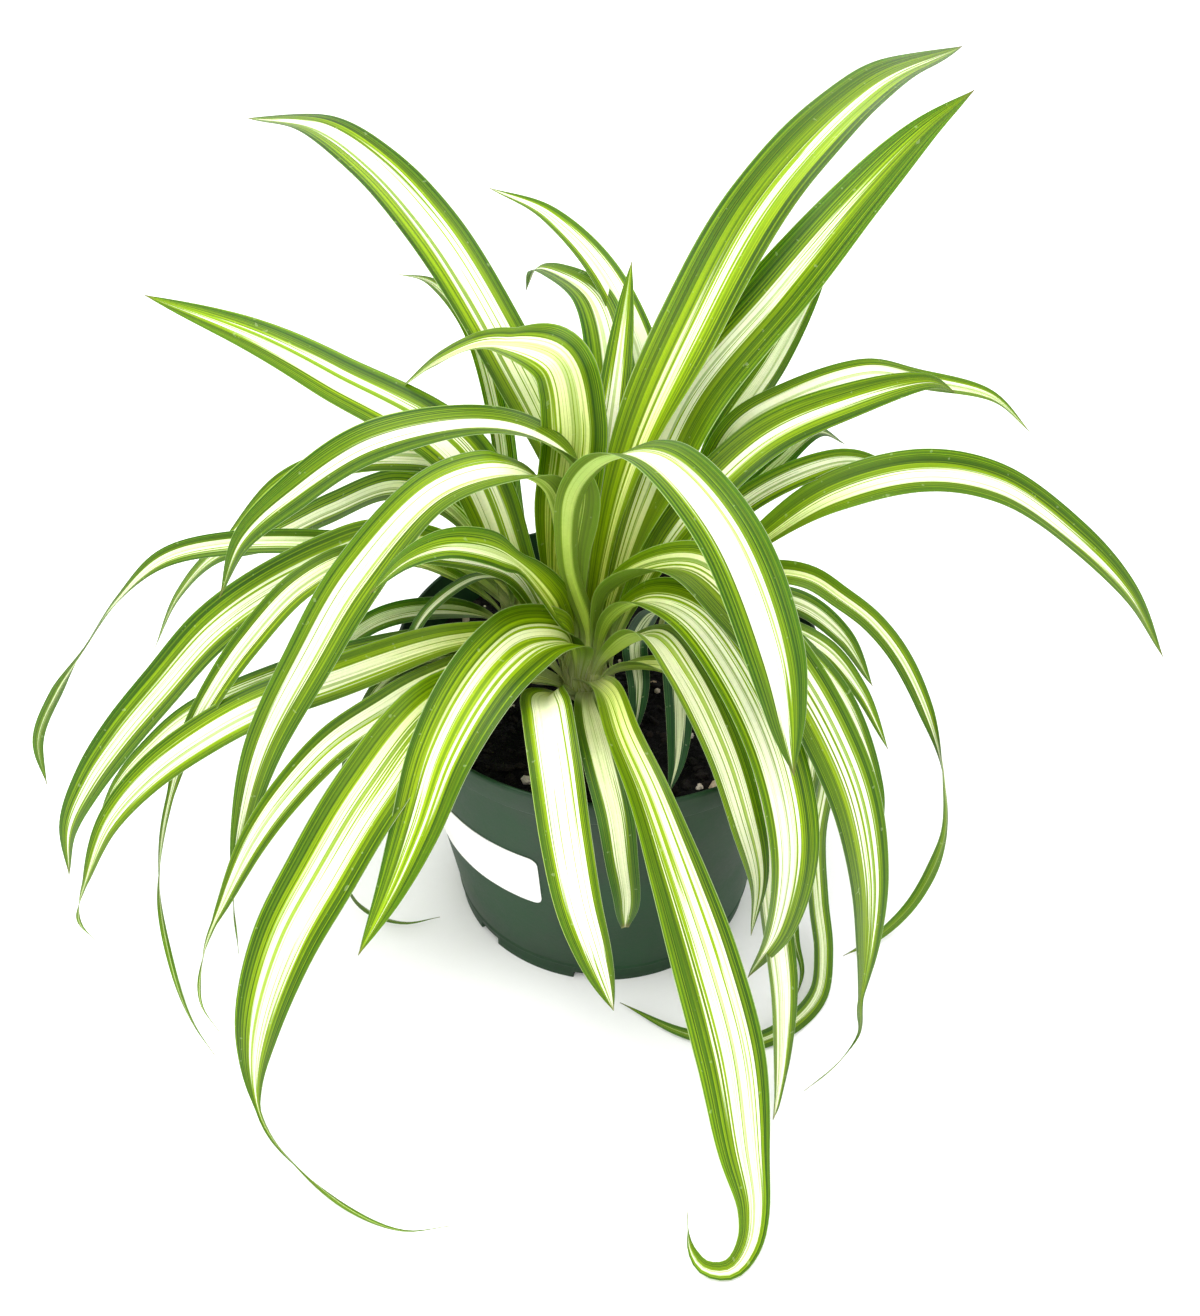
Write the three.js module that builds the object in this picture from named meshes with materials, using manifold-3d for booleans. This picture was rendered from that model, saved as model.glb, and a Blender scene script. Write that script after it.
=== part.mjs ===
// A spider plant in a round nursery pot, in millimetres, +Z up.
// The origin is the centre of the pot's flat underside, and -Y is the side that faces the viewer.
import * as THREE from "three";
import { mergeVertices } from "three/addons/utils/BufferGeometryUtils.js";
import Module from "manifold-3d";

// Driving dimensions: a shallow nursery pot, 160 mm wide and 118 mm tall.
const RIM_RADIUS = 80;
const FOOT_RADIUS = 58;
const POT_HEIGHT = 118;
const POT_WALL = 1.6;
const POT_FLOOR = 2;
const COLLAR_HEIGHT = 12;
const COLLAR_STEP = 1.2;
const FOOT_BAND_HEIGHT = 7.5;
const FOOT_BAND_STEP = 0.7;
const LIP_RADIUS = 0.8;
const POT_SIDES = 64;
const REST_GAP = 0.3;

// Drain slots through the bottom edge of the foot band.
const SLOT_COUNT = 8;
const SLOT_WIDTH = 11;
const SLOT_HEIGHT = 3.5;
const SLOT_DEPTH = 9;
const FIRST_SLOT = -140.5;

// Potting mix, slightly raised round the crowns.
const SOIL_HEIGHT = 101;
const SOIL_MOUND = 3;
const SOIL_RINGS = 4;

// Paper label wrapped round the front left of the pot.
const LABEL_WIDTH = 68;
const LABEL_HEIGHT = 28.5;
const LABEL_THICKNESS = 0.3;
const LABEL_GAP = 0.1;
const LABEL_CORNER = 3.5;
const LABEL_BOTTOM = 48;
const LABEL_RIGHT_EDGE = -110;
const LABEL_STEPS = 18;

// The rosettes that share the pot: axis x and y, radius at the soil, height above it, radius at the top.
const CROWNS = {
  main: { x: -8, y: -2, radius: 9.5, height: 27, topRadius: 3 },
  left: { x: -33, y: 30, radius: 7.5, height: 18, topRadius: 2.5 },
  right: { x: 26, y: 34, radius: 7.5, height: 18, topRadius: 2.5 },
};
const CROWN_SIDES = 20;

// Leaf blade: a thin V-shaped channel with a keel under its midrib, tapering to a point.
const BLADE_STEPS = 18;
const BLADE_THICKNESS = 1.0;
const KEEL_LOSS = 0.6;
const BLADE_SEAT = 1.2;
const BASE_SHARE = 0.3;
const BASE_LENGTH = 0.32;
const TAPER_POWER = 3.2;
const TAIL_POWER = 8;
const FOLD_AT_BASE = 34;
const FOLD_OUTWARD = 14;

// Every leaf: the crown it grows from, the heading of its reach in degrees from +X, its width, the height
// where it leaves the crown, and the route of its midrib as [reach from the crown's axis, height above
// the table, offset to the left of the heading]. roll turns the blade about its midrib, in even stations
// from base to tip. A higher taper keeps the blade wide for longer, and tail is the share of the length
// from which only a thin dried tip is left, with the width of that tip.
const LEAVES = {
  // Tall leaves at the back.
  tall_right: { crown: "main", heading: 60, width: 27, seat: 130, roll: [0, 12],
    route: [[16, 170], [34, 195], [68, 222], [118, 250], [212, 260], [316, 242]] },
  tall_right_back: { crown: "main", heading: 47, width: 24, seat: 117, roll: [0, 15],
    route: [[14, 146, -1], [31, 173, 2], [56, 203, 4], [104, 225, 6], [147, 249, 5], [180, 265, 3],
      [207, 274]] },
  tall_left: { crown: "main", heading: 126, width: 20, seat: 128, roll: [0, -8],
    route: [[23, 152, -10], [38, 190, -8], [56, 219, -2], [85, 241], [109, 250], [140, 256], [182, 255],
      [248, 234]] },
  spike: { crown: "main", heading: 84, width: 10, seat: 124,
    route: [[17, 152], [36, 190, -2], [74, 241, -5]] },
  back_arch: { crown: "main", heading: 92, width: 18, seat: 122,
    route: [[28, 160, -13], [60, 191, -23], [90, 220, -10], [125, 232, 14], [150, 231, 38]] },
  back_curl: { crown: "main", heading: 94, width: 14, seat: 118,
    route: [[31, 158, -5], [62, 205, -6], [86, 218, -3], [109, 217, 8], [122, 211, 16], [127, 199, 19]] },
  folded_back: { crown: "main", heading: 146, width: 25, seat: 119, roll: [-10, -50, -35, -20],
    route: [[15, 136, -3], [15, 177, -7], [13, 211, -8], [19, 235, -6], [44, 234, -3], [67, 219, -2],
      [84, 202]] },
  back_right_short: { crown: "right", heading: 60, width: 14, seat: 118,
    route: [[12, 145], [30, 172], [70, 186], [100, 202], [120, 218]] },
  left_back_tip: { crown: "left", heading: 126, width: 9, seat: 117,
    route: [[10, 150], [16, 190], [32, 220], [57, 227], [84, 219]] },
  left_back_low: { crown: "left", heading: 100, width: 9, seat: 113,
    route: [[13, 126], [42, 142], [64, 170], [62, 196]] },

  // Arching leaves on the left.
  left_straight: { crown: "main", heading: 153, width: 20, seat: 111, roll: [-10, -25],
    route: [[27, 147, 4], [53, 190], [106, 206], [140, 213], [188, 216]] },
  left_arch: { crown: "main", heading: 179, width: 21, seat: 131, roll: [-12, -50],
    route: [[5, 165, -2], [4, 200, -3], [18, 213, -3], [38, 217, -3], [74, 209], [103, 187], [123, 166],
      [134, 140]] },
  left_arch_front: { crown: "main", heading: 202, width: 19, seat: 122, roll: [-15, -50], tail: [0.9, 3],
    route: [[8, 155, -3], [14, 195, -4], [34, 213, 6], [55, 206, 1], [84, 176], [103, 146], [122, 112],
      [133, 80], [141, 44], [143, 8]] },
  left_inner_high: { crown: "main", heading: 226, width: 13, seat: 119, roll: [-10, -40],
    route: [[12, 141], [22, 160, 2], [36, 181, 1], [50, 194], [66, 202, -2], [80, 202, -4], [93, 195, -6]] },
  left_inner_low: { crown: "main", heading: 178, width: 14, seat: 116, roll: [-10, -30],
    route: [[16, 137], [28, 157], [53, 162], [74, 158]] },
  left_out_back: { crown: "left", heading: 180, width: 12, seat: 114, roll: [-20, -55],
    route: [[28, 136], [65, 143], [110, 142], [136, 134], [157, 113], [174, 88], [188, 66], [201, 38],
      [202, 12]] },
  left_out_thin: { crown: "left", heading: 164, width: 13, seat: 108, roll: [-10, -40],
    route: [[16, 136, -3], [31, 157], [50, 160], [78, 143], [104, 124], [130, 109], [151, 83], [167, 50]] },
  left_mid_back: { crown: "left", heading: 170, width: 13, seat: 121, roll: [-10, -40],
    route: [[12, 155], [28, 176], [48, 177], [72, 170], [94, 157], [122, 124]] },
  left_wide: { crown: "left", heading: 195, width: 21, seat: 118, roll: [-10, -45], taper: 6,
    route: [[28, 147], [54, 155], [73, 150], [97, 139], [118, 124], [139, 101], [158, 79], [173, 58],
      [184, 36], [188, 10]] },
  left_hanging: { crown: "left", heading: 210, width: 14, seat: 109, roll: [-10, -40],
    taper: 4, tail: [0.66, 3.5],
    route: [[16, 125], [40, 149], [66, 162], [88, 157], [109, 140], [124, 123], [136, 105], [145, 84],
      [153, 58], [158, 26], [161, 4, 18], [162, 3, 40], [160, 3, 58]] },
  left_low: { crown: "main", heading: 197, width: 18, seat: 113, roll: [-10, -45], tail: [0.86, 3.5],
    route: [[18, 131], [50, 136], [96, 127], [122, 121], [143, 111], [163, 97], [180, 78], [192, 52],
      [199, 24, -6], [194, 4, -10]] },
  left_low_back: { crown: "main", heading: 190, width: 12, seat: 108, roll: [-10, -45],
    route: [[20, 124, -5], [56, 129, -4], [94, 127], [123, 118], [146, 107], [162, 93], [177, 75],
      [190, 48]] },
  left_low_front: { crown: "main", heading: 208, width: 16, seat: 109, roll: [-10, -40], tail: [0.82, 3],
    route: [[27, 130], [63, 128], [81, 122], [100, 114], [118, 99], [133, 81], [146, 58], [158, 32],
      [163, 10, 4], [160, 3, 14]] },

  // Leaves that fall over the front left.
  front_left_folded: { crown: "main", heading: 236, width: 22, seat: 113, roll: [-10, -35, -20, -10],
    route: [[18, 141, 5], [34, 150], [53, 152], [70, 146], [86, 133], [102, 112, 1], [118, 93, 1], [134, 77]] },
  front_left_big: { crown: "main", heading: 226, width: 28, seat: 106, roll: [-10, -30, -10],
    taper: 5, tail: [0.74, 3],
    route: [[30, 125], [71, 138], [104, 118], [128, 95], [145, 76], [160, 46], [166, 18], [169, 4, 6],
      [172, 3, 22], [170, 3, 56], [162, 3, 76], [149, 3, 86]] },
  floor_left: { crown: "main", heading: 199, width: 8, seat: 106,
    route: [[24, 115, 4], [50, 130], [76, 125], [92, 90], [98, 40], [96, 18], [88, 5, 1], [77, 3, 7],
      [63, 3, 8]] },

  // Leaves over the front.
  front_narrow: { crown: "main", heading: 263, width: 15, seat: 106, taper: 4,
    route: [[16, 112, -5], [42, 128, -9], [66, 132, -4], [84, 124, 1], [95, 112, 6], [104, 98, 12],
      [110, 82, 18], [113, 56, 26]] },
  front_short: { crown: "main", heading: 276, width: 12, seat: 108, taper: 8,
    route: [[22, 116, -2], [46, 124, -2], [68, 128, -1], [84, 119, 2], [91, 103, 4], [93, 86, 6],
      [91, 70, 6]] },
  front_big: { crown: "main", heading: 282, width: 26, seat: 112, taper: 4, tail: [0.93, 2.5],
    route: [[18, 120, -1], [37, 131], [62, 134], [84, 128, 4], [101, 112, 9], [121, 83, 17],
      [140, 54, 23], [158, 26, 25], [171, 9, 26], [181, 4, 22], [188, 3, 14], [186, 3, 6], [178, 3, 3],
      [164, 3, 5]] },
  front_stub: { crown: "main", heading: 273, width: 6, seat: 106,
    route: [[14, 108], [22, 108, -2], [29, 108, -4], [35, 105, -4]] },

  // Leaves that fall over the front right.
  front_right_arch: { crown: "main", heading: 290, width: 21, seat: 131,
    route: [[5, 166, -9], [9, 200, -9], [24, 223, -1], [43, 232, 8], [74, 223, 18], [99, 192, 26],
      [112, 150, 31]] },
  right_fall_outer: { crown: "main", heading: 315, width: 22, seat: 125, roll: [10, 10],
    taper: 4, tail: [0.82, 3],
    route: [[9, 154], [48, 187], [71, 182], [96, 168], [113, 152], [126, 133], [136, 104], [140, 74],
      [141, 44], [137, 12, 8], [136, 4, -2], [135, 3, -18]] },
  right_fall_middle: { crown: "main", heading: 307, width: 20, seat: 120, roll: [10, 10],
    route: [[13, 144], [34, 168], [60, 177], [86, 166], [107, 146, -1], [120, 119, -3], [119, 79, -4],
      [106, 41, -4]] },
  right_fall_low: { crown: "main", heading: 302, width: 16, seat: 108, taper: 5,
    route: [[17, 123, 2], [38, 138, 7], [60, 142, 10], [83, 126, 14], [92, 102, 17], [102, 74, 15],
      [119, 43, 11], [129, 18, 6], [134, 4, 2], [140, 3, -4]] },
  right_fall_inner: { crown: "main", heading: 296, width: 19, seat: 115,
    route: [[17, 133, 2], [36, 153, 8], [57, 150, 10], [83, 137, 11], [100, 122, 11], [107, 95, 15],
      [109, 70, 13]] },
  right_soil_front: { crown: "right", heading: 250, width: 10, seat: 112, taper: 6,
    route: [[18, 122, -4], [34, 124, -4], [46, 127, -1], [55, 119, 4], [62, 111, 6], [68, 105, 7]] },
  right_soil_back: { crown: "right", heading: 262, width: 12, seat: 108, taper: 6,
    route: [[18, 122, 3], [38, 129, 4], [54, 128, 6], [70, 119, 9], [82, 111, 10], [94, 105, 9]] },

  // Leaves on the right.
  right_up: { crown: "main", heading: 33, width: 18, seat: 112, roll: [10, 40],
    route: [[22, 141], [39, 165], [73, 188], [113, 192], [152, 188], [167, 178]] },
  right_up_back: { crown: "right", heading: 25, width: 15, seat: 120, roll: [10, 40],
    route: [[6, 155], [22, 186, 3], [47, 192, 8], [81, 194, 9], [106, 184, 10], [137, 172, 5],
      [155, 154]] },
  right_out: { crown: "right", heading: 8, width: 19, seat: 110, roll: [15, 45],
    route: [[13, 125], [30, 142], [56, 162], [89, 170], [121, 162], [157, 134], [184, 105], [206, 69]] },
  right_out_short: { crown: "right", heading: 20, width: 12, seat: 115, roll: [10, 40],
    route: [[9, 141], [30, 160], [64, 168], [83, 160], [95, 147]] },
  right_out_dark: { crown: "right", heading: 40, width: 9, seat: 110, roll: [10, 30],
    route: [[14, 133], [28, 148], [50, 160], [68, 166], [86, 153]] },
  right_twisted: { crown: "right", heading: 332, width: 10, seat: 113, roll: [20, 25, 80, 150, 160],
    route: [[12, 130], [38, 145], [53, 148], [65, 144], [78, 138], [91, 126], [105, 103], [114, 79],
      [119, 45], [114, 14, -8], [106, 4, -24], [98, 3, -38]] },
  right_wave: { crown: "right", heading: 342, width: 12, seat: 106, roll: [10, 30],
    route: [[14, 121], [46, 128], [65, 117], [79, 96]] },
  right_hook: { crown: "right", heading: 326, width: 9, seat: 104, roll: [10, 30],
    route: [[15, 114], [38, 124], [64, 124], [80, 112], [95, 90]] },
  right_thin: { crown: "right", heading: 314, width: 9, seat: 111, roll: [10, 30],
    route: [[12, 124], [41, 134], [81, 123], [104, 92], [110, 70]] },
  right_trailing: { crown: "right", heading: 306, width: 14, seat: 108, roll: [10, 5, 0],
    route: [[18, 119, 2], [44, 126, 4], [66, 126, 6], [81, 118, 6], [87, 92, 4], [89, 60, 1],
      [94, 28, 2], [103, 11, -1], [114, 4, -12], [119, 3, -30], [117, 3, -47], [100, 3, -65],
      [74, 3, -77]] },
  right_inside: { crown: "right", heading: 306, width: 10, seat: 105,
    route: [[16, 113, -2], [44, 124, -6], [66, 127, -7], [82, 125, -7], [90, 106, -7], [89, 66, -9],
      [88, 30, -6], [93, 9, -6], [101, 3, -9], [110, 3, -19]] },

  // Thin leaves over the left rim.
  left_strap: { crown: "left", heading: 228, width: 6, seat: 112,
    route: [[10, 132], [26, 143], [50, 142, 1], [60, 134, 2], [63, 117, 2], [58, 107, 2]] },
  left_soil: { crown: "main", heading: 186, width: 12, seat: 106, roll: [-10, -30],
    route: [[20, 114, 3], [45, 120, 3], [72, 122, 3], [84, 119, 3], [98, 108, 3]] },
  left_rim: { crown: "left", heading: 202, width: 11, seat: 105, roll: [-10, -30],
    route: [[15, 114], [34, 123], [58, 124], [88, 104]] },
};

const radians = THREE.MathUtils.degToRad;

// A mesh as a manifold solid, with its shared corners merged.
const wasm = await Module();
wasm.setup();

function solidOf(geometry) {
  const bare = geometry.index ? geometry.toNonIndexed() : geometry.clone();
  bare.deleteAttribute("normal");
  bare.deleteAttribute("uv");
  const merged = mergeVertices(bare, 1e-4);
  return new wasm.Manifold(new wasm.Mesh({
    numProp: 3,
    vertProperties: new Float32Array(merged.attributes.position.array),
    triVerts: new Uint32Array(merged.index.array),
  }));
}

function geometryOf(solid) {
  const mesh = solid.getMesh();
  const geometry = new THREE.BufferGeometry();
  geometry.setAttribute("position", new THREE.BufferAttribute(mesh.vertProperties, 3));
  geometry.setIndex(new THREE.BufferAttribute(mesh.triVerts, 1));
  return geometry;
}

// A profile of [radius, height] points turned about the upright axis, with its seam at -Y.
function turned(profile, sides) {
  const points = profile.map(([radius, height]) => new THREE.Vector2(radius, height));
  const geometry = new THREE.LatheGeometry(points, sides);
  geometry.rotateX(Math.PI / 2);
  return geometry;
}

// Radius of the pot's outer wall, which tapers straight from the collar to the foot band.
const WALL_TOP = POT_HEIGHT - COLLAR_HEIGHT;
const WALL_TOP_RADIUS = RIM_RADIUS - COLLAR_STEP - 2;
const WALL_FOOT_RADIUS = FOOT_RADIUS + FOOT_BAND_STEP;

function wallRadius(height) {
  const share = (height - FOOT_BAND_HEIGHT) / (WALL_TOP - FOOT_BAND_HEIGHT);
  return THREE.MathUtils.lerp(WALL_FOOT_RADIUS, WALL_TOP_RADIUS, share);
}

function potShell() {
  const outside = [
    [0, 0],
    [FOOT_RADIUS - 0.6, 0],
    [FOOT_RADIUS, 0.6],
    [FOOT_RADIUS, FOOT_BAND_HEIGHT],
    [WALL_FOOT_RADIUS, FOOT_BAND_HEIGHT],
    [WALL_TOP_RADIUS, WALL_TOP],
    [WALL_TOP_RADIUS + COLLAR_STEP, WALL_TOP + COLLAR_STEP],
    [RIM_RADIUS, POT_HEIGHT - LIP_RADIUS],
    [RIM_RADIUS - LIP_RADIUS, POT_HEIGHT],
  ];
  const inside = [
    [RIM_RADIUS - POT_WALL + LIP_RADIUS, POT_HEIGHT],
    [RIM_RADIUS - POT_WALL, POT_HEIGHT - LIP_RADIUS],
    [wallRadius(WALL_TOP) - POT_WALL, WALL_TOP],
    [wallRadius(POT_FLOOR) - POT_WALL - FOOT_BAND_STEP, POT_FLOOR],
    [0, POT_FLOOR],
  ];
  return turned([...outside, ...inside], POT_SIDES);
}

function drainSlot(angle) {
  const slot = new THREE.BoxGeometry(SLOT_DEPTH, SLOT_WIDTH, 2 * SLOT_HEIGHT);
  slot.translate(FOOT_RADIUS - SLOT_DEPTH / 2 + 1, 0, 0);
  slot.rotateZ(radians(angle));
  return slot;
}

function potGeometry() {
  let solid = solidOf(potShell());
  for (let slot = 0; slot < SLOT_COUNT; slot += 1) {
    solid = solid.subtract(solidOf(drainSlot(FIRST_SLOT + (360 / SLOT_COUNT) * slot)));
  }
  return geometryOf(solid);
}

// Height of the potting mix at a distance from the pot's axis.
const SOIL_RADIUS = wallRadius(SOIL_HEIGHT) - POT_WALL - REST_GAP;

function soilHeight(radius) {
  return SOIL_HEIGHT + SOIL_MOUND * (1 - (radius / SOIL_RADIUS) ** 2);
}

function soilGeometry() {
  const floor = POT_FLOOR + REST_GAP;
  const footRadius = wallRadius(floor) - POT_WALL - FOOT_BAND_STEP - 2 * REST_GAP;
  const profile = [[0, floor], [footRadius, floor], [SOIL_RADIUS, SOIL_HEIGHT]];
  for (let ring = SOIL_RINGS - 1; ring >= 0; ring -= 1) {
    const radius = (SOIL_RADIUS * ring) / SOIL_RINGS;
    profile.push([radius, soilHeight(radius)]);
  }
  return geometryOf(solidOf(turned(profile, POT_SIDES)));
}

// Where a crown stands on the mix, clear of its high side.
function crownFoot({ x, y, radius }) {
  return soilHeight(Math.max(0, Math.hypot(x, y) - radius)) + REST_GAP;
}

// The crown's radius at a height above the table.
function crownRadius(crown, height) {
  const share = (height - crownFoot(crown)) / crown.height;
  return THREE.MathUtils.lerp(crown.radius, crown.topRadius, THREE.MathUtils.clamp(share, 0, 1));
}

function crownGeometry(crown) {
  const foot = crownFoot(crown);
  const top = foot + crown.height;
  const profile = [
    [0, foot],
    [crown.radius, foot],
    [crown.topRadius, top],
    [crown.topRadius / 2, top + 1],
    [0, top + 1.4],
  ];
  const geometry = turned(profile, CROWN_SIDES);
  geometry.translate(crown.x, crown.y, 0);
  return geometryOf(solidOf(geometry));
}

// Half the label's height at a distance across from its middle: full, then round at the corners.
function labelHalfHeight(across) {
  const past = Math.max(0, Math.abs(across) - (LABEL_WIDTH / 2 - LABEL_CORNER));
  return LABEL_HEIGHT / 2 - LABEL_CORNER + Math.sqrt(Math.max(0, LABEL_CORNER ** 2 - past ** 2));
}

function labelGeometry() {
  const middleHeight = LABEL_BOTTOM + LABEL_HEIGHT / 2;
  const middleRadius = wallRadius(middleHeight);
  const corner = [0, 0.04, 0.15, 0.4, 0.7, 1].map((share) => share * LABEL_CORNER);
  const columns = corner.map((step) => -LABEL_WIDTH / 2 + step);
  const straight = LABEL_WIDTH - 2 * LABEL_CORNER;
  for (let step = 1; step < LABEL_STEPS; step += 1) {
    columns.push(-straight / 2 + (straight * step) / LABEL_STEPS);
  }
  columns.push(...corner.toReversed().map((step) => LABEL_WIDTH / 2 - step));
  const point = (across, height, lift) => {
    const degrees = THREE.MathUtils.radToDeg((across + LABEL_WIDTH / 2) / middleRadius);
    const angle = radians(LABEL_RIGHT_EDGE - degrees);
    const radius = wallRadius(height) + LABEL_GAP + lift;
    return [radius * Math.cos(angle), radius * Math.sin(angle), height];
  };
  const rings = columns.map((across) => {
    const half = labelHalfHeight(across);
    const low = middleHeight - half;
    const high = middleHeight + half;
    return [
      point(across, low, LABEL_THICKNESS),
      point(across, high, LABEL_THICKNESS),
      point(across, high, 0),
      point(across, low, 0),
    ];
  });
  return geometryOf(solidOf(loft(rings, rings.at(-1))));
}

// A closed skin over rings of four corners each: a cap on the first ring, bands between the rings, and
// an end that is either the last ring's own cap or a single point. The two faces of a thin section are
// divided along matching diagonals, so that a twisted band stays clear of itself.
function loft(rings, end) {
  const corners = rings.flat();
  const triangles = [[0, 2, 1], [0, 3, 2]];
  for (let ring = 0; ring + 1 < rings.length; ring += 1) {
    for (let side = 0; side < 4; side += 1) {
      const here = 4 * ring + side;
      const next = 4 * ring + ((side + 1) % 4);
      if (side < 2) {
        triangles.push([here, next, here + 4], [next, next + 4, here + 4]);
      } else {
        triangles.push([here, next, next + 4], [here, next + 4, here + 4]);
      }
    }
  }
  const last = 4 * (rings.length - 1);
  if (end.length === 4) {
    triangles.push([last, last + 1, last + 2], [last, last + 2, last + 3]);
  } else {
    corners.push(end);
    for (let side = 0; side < 4; side += 1) {
      triangles.push([last + side, last + ((side + 1) % 4), corners.length - 1]);
    }
  }
  const geometry = new THREE.BufferGeometry();
  geometry.setAttribute("position", new THREE.Float32BufferAttribute(corners.flat(), 3));
  geometry.setIndex(triangles.flat());
  return geometry;
}

// The midrib: a smooth curve from the leaf's seat on its crown through its route.
function midrib({ crown, heading, seat, route }) {
  const out = new THREE.Vector3(Math.cos(radians(heading)), Math.sin(radians(heading)), 0);
  const left = new THREE.Vector3(-out.y, out.x, 0);
  const base = CROWNS[crown];
  const start = [crownRadius(base, seat) + BLADE_SEAT, seat];
  const points = [start, ...route].map(([reach, height, offset = 0]) => {
    const point = new THREE.Vector3(base.x, base.y, height);
    return point.addScaledVector(out, reach).addScaledVector(left, offset);
  });
  return { curve: new THREE.CatmullRomCurve3(points, false, "centripetal"), left };
}

// The blade's width and fold at a share of its length: narrow at the base, widest near the middle,
// drawn out to a point or a thin tail, and folded most where it leaves the crown.
function bladeWidth({ width, taper = TAPER_POWER, tail = [1, 0] }, share) {
  const [tailStart, tailWidth] = tail;
  const growth = THREE.MathUtils.smoothstep(share, 0, BASE_LENGTH);
  const drawn = Math.max(0, 1 - (share / tailStart) ** taper);
  const body = width * THREE.MathUtils.lerp(BASE_SHARE, 1, growth) * drawn;
  return Math.max(body, tailWidth * (1 - share ** TAIL_POWER));
}

function bladeFold(share) {
  const opened = THREE.MathUtils.smoothstep(share, 0, 0.5);
  return radians(THREE.MathUtils.lerp(FOLD_AT_BASE, FOLD_OUTWARD, opened));
}

// The blade's roll at a share of its length, from stations spaced evenly along it.
function bladeRoll(stations, share) {
  const place = share * (stations.length - 1);
  const before = Math.min(Math.floor(place), stations.length - 2);
  return radians(THREE.MathUtils.lerp(stations[before], stations[before + 1], place - before));
}

function leafGeometry(leaf) {
  const { curve, left } = midrib(leaf);
  const across = left.clone();
  const rings = [];
  for (let step = 0; step < BLADE_STEPS; step += 1) {
    const share = step / BLADE_STEPS;
    const middle = curve.getPointAt(share);
    const along = curve.getTangentAt(share);
    across.addScaledVector(along, -across.dot(along)).normalize();
    const side = across.clone().applyAxisAngle(along, bladeRoll(leaf.roll ?? [0, 0], share));
    const up = along.clone().cross(side);
    const half = bladeWidth(leaf, share) / 2;
    const fold = bladeFold(share);
    const keel = BLADE_THICKNESS * (1 - KEEL_LOSS * share);
    const rise = (half * Math.sin(fold)) / 2;
    const corner = (sideways, upward) => {
      const point = middle.clone().addScaledVector(side, sideways);
      return point.addScaledVector(up, upward).toArray();
    };
    rings.push([
      corner(half * Math.cos(fold), rise),
      corner(0, -rise),
      corner(-half * Math.cos(fold), rise),
      corner(0, -rise - keel),
    ]);
  }
  return geometryOf(solidOf(loft(rings, curve.getPoint(1).toArray())));
}

// Finishes: colour, roughness and metalness.
const FINISHES = {
  pot: new THREE.MeshStandardMaterial({ color: 0x2f4a3c, roughness: 0.5, metalness: 0 }),
  label: new THREE.MeshStandardMaterial({ color: 0xf4f4f2, roughness: 0.6, metalness: 0 }),
  soil: new THREE.MeshStandardMaterial({ color: 0x15120f, roughness: 0.95, metalness: 0 }),
  crown: new THREE.MeshStandardMaterial({ color: 0x9bb05a, roughness: 0.5, metalness: 0 }),
  leaf: new THREE.MeshStandardMaterial({ color: 0x6f9f35, roughness: 0.45, metalness: 0 }),
};

function piece(name, geometry, finish) {
  geometry.computeVertexNormals();
  const mesh = new THREE.Mesh(geometry, FINISHES[finish]);
  mesh.name = name;
  return mesh;
}

const plant = new THREE.Group();
plant.add(piece("pot", potGeometry(), "pot"));
plant.add(piece("label", labelGeometry(), "label"));
plant.add(piece("potting_mix", soilGeometry(), "soil"));
for (const [name, crown] of Object.entries(CROWNS)) {
  plant.add(piece(`crown_${name}`, crownGeometry(crown), "crown"));
}
for (const [name, leaf] of Object.entries(LEAVES)) {
  plant.add(piece(`leaf_${name}`, leafGeometry(leaf), "leaf"));
}

export default plant;
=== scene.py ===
import math

import bpy
import mathutils
import numpy as np
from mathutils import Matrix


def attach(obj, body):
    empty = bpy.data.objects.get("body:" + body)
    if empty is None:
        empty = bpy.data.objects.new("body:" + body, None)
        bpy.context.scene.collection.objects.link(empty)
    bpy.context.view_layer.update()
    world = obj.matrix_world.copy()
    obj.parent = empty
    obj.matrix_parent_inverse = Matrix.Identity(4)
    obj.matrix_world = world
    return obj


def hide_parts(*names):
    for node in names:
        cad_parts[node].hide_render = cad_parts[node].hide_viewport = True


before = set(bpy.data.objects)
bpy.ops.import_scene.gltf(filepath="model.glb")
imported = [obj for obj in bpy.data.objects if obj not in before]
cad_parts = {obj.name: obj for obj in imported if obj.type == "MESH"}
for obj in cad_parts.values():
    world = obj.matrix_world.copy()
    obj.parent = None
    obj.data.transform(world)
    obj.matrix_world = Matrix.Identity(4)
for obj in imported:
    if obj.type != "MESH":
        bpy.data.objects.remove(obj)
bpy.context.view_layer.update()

MM = 0.001

# Pot, potting mix and label, in millimetres, as the part has them.
RIM_RADIUS = 80.0
FOOT_RADIUS = 58.0
POT_HEIGHT = 118.0
POT_WALL = 1.6
POT_FLOOR = 2.0
WALL_TOP = 106.0
WALL_TOP_RADIUS = 76.8
FOOT_BAND_HEIGHT = 7.5
WALL_FOOT_RADIUS = 58.7
SLOT_COUNT = 8
SLOT_HALF_ANGLE = 5.4
SLOT_HEIGHT = 3.5
SLOT_BACK = 50.0
FIRST_SLOT = -140.5
SOIL_HEIGHT = 101.0
SOIL_MOUND = 3.0
SOIL_RADIUS = 74.07
LABEL_WIDTH = 68.0
LABEL_HEIGHT = 28.5
LABEL_CORNER = 3.5
LABEL_BOTTOM = 48.0
LABEL_RIGHT_EDGE = -110.0

# What the visual model adds: a wall that thickens to the floor, a label that stands off the wall, and a
# mix with a flat foot, whose crumbs fade out at the wall.
FOOT_THICKENING = 0.7
FLOOR_CENTRE_RADIUS = 25.0
LABEL_FACES = (0.38, 0.12)
LABEL_UNEVENNESS = 0.05
MIX_FOOT_HEIGHT = 2.3
MIX_SIDE_TOP = 97.0
MIX_SINK = 0.4
CRUMB_FADE = 5.0

# Columns of the pot in a slot and between two slots.
SLOT_STEPS, WALL_STEPS = 8, 23

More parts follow.
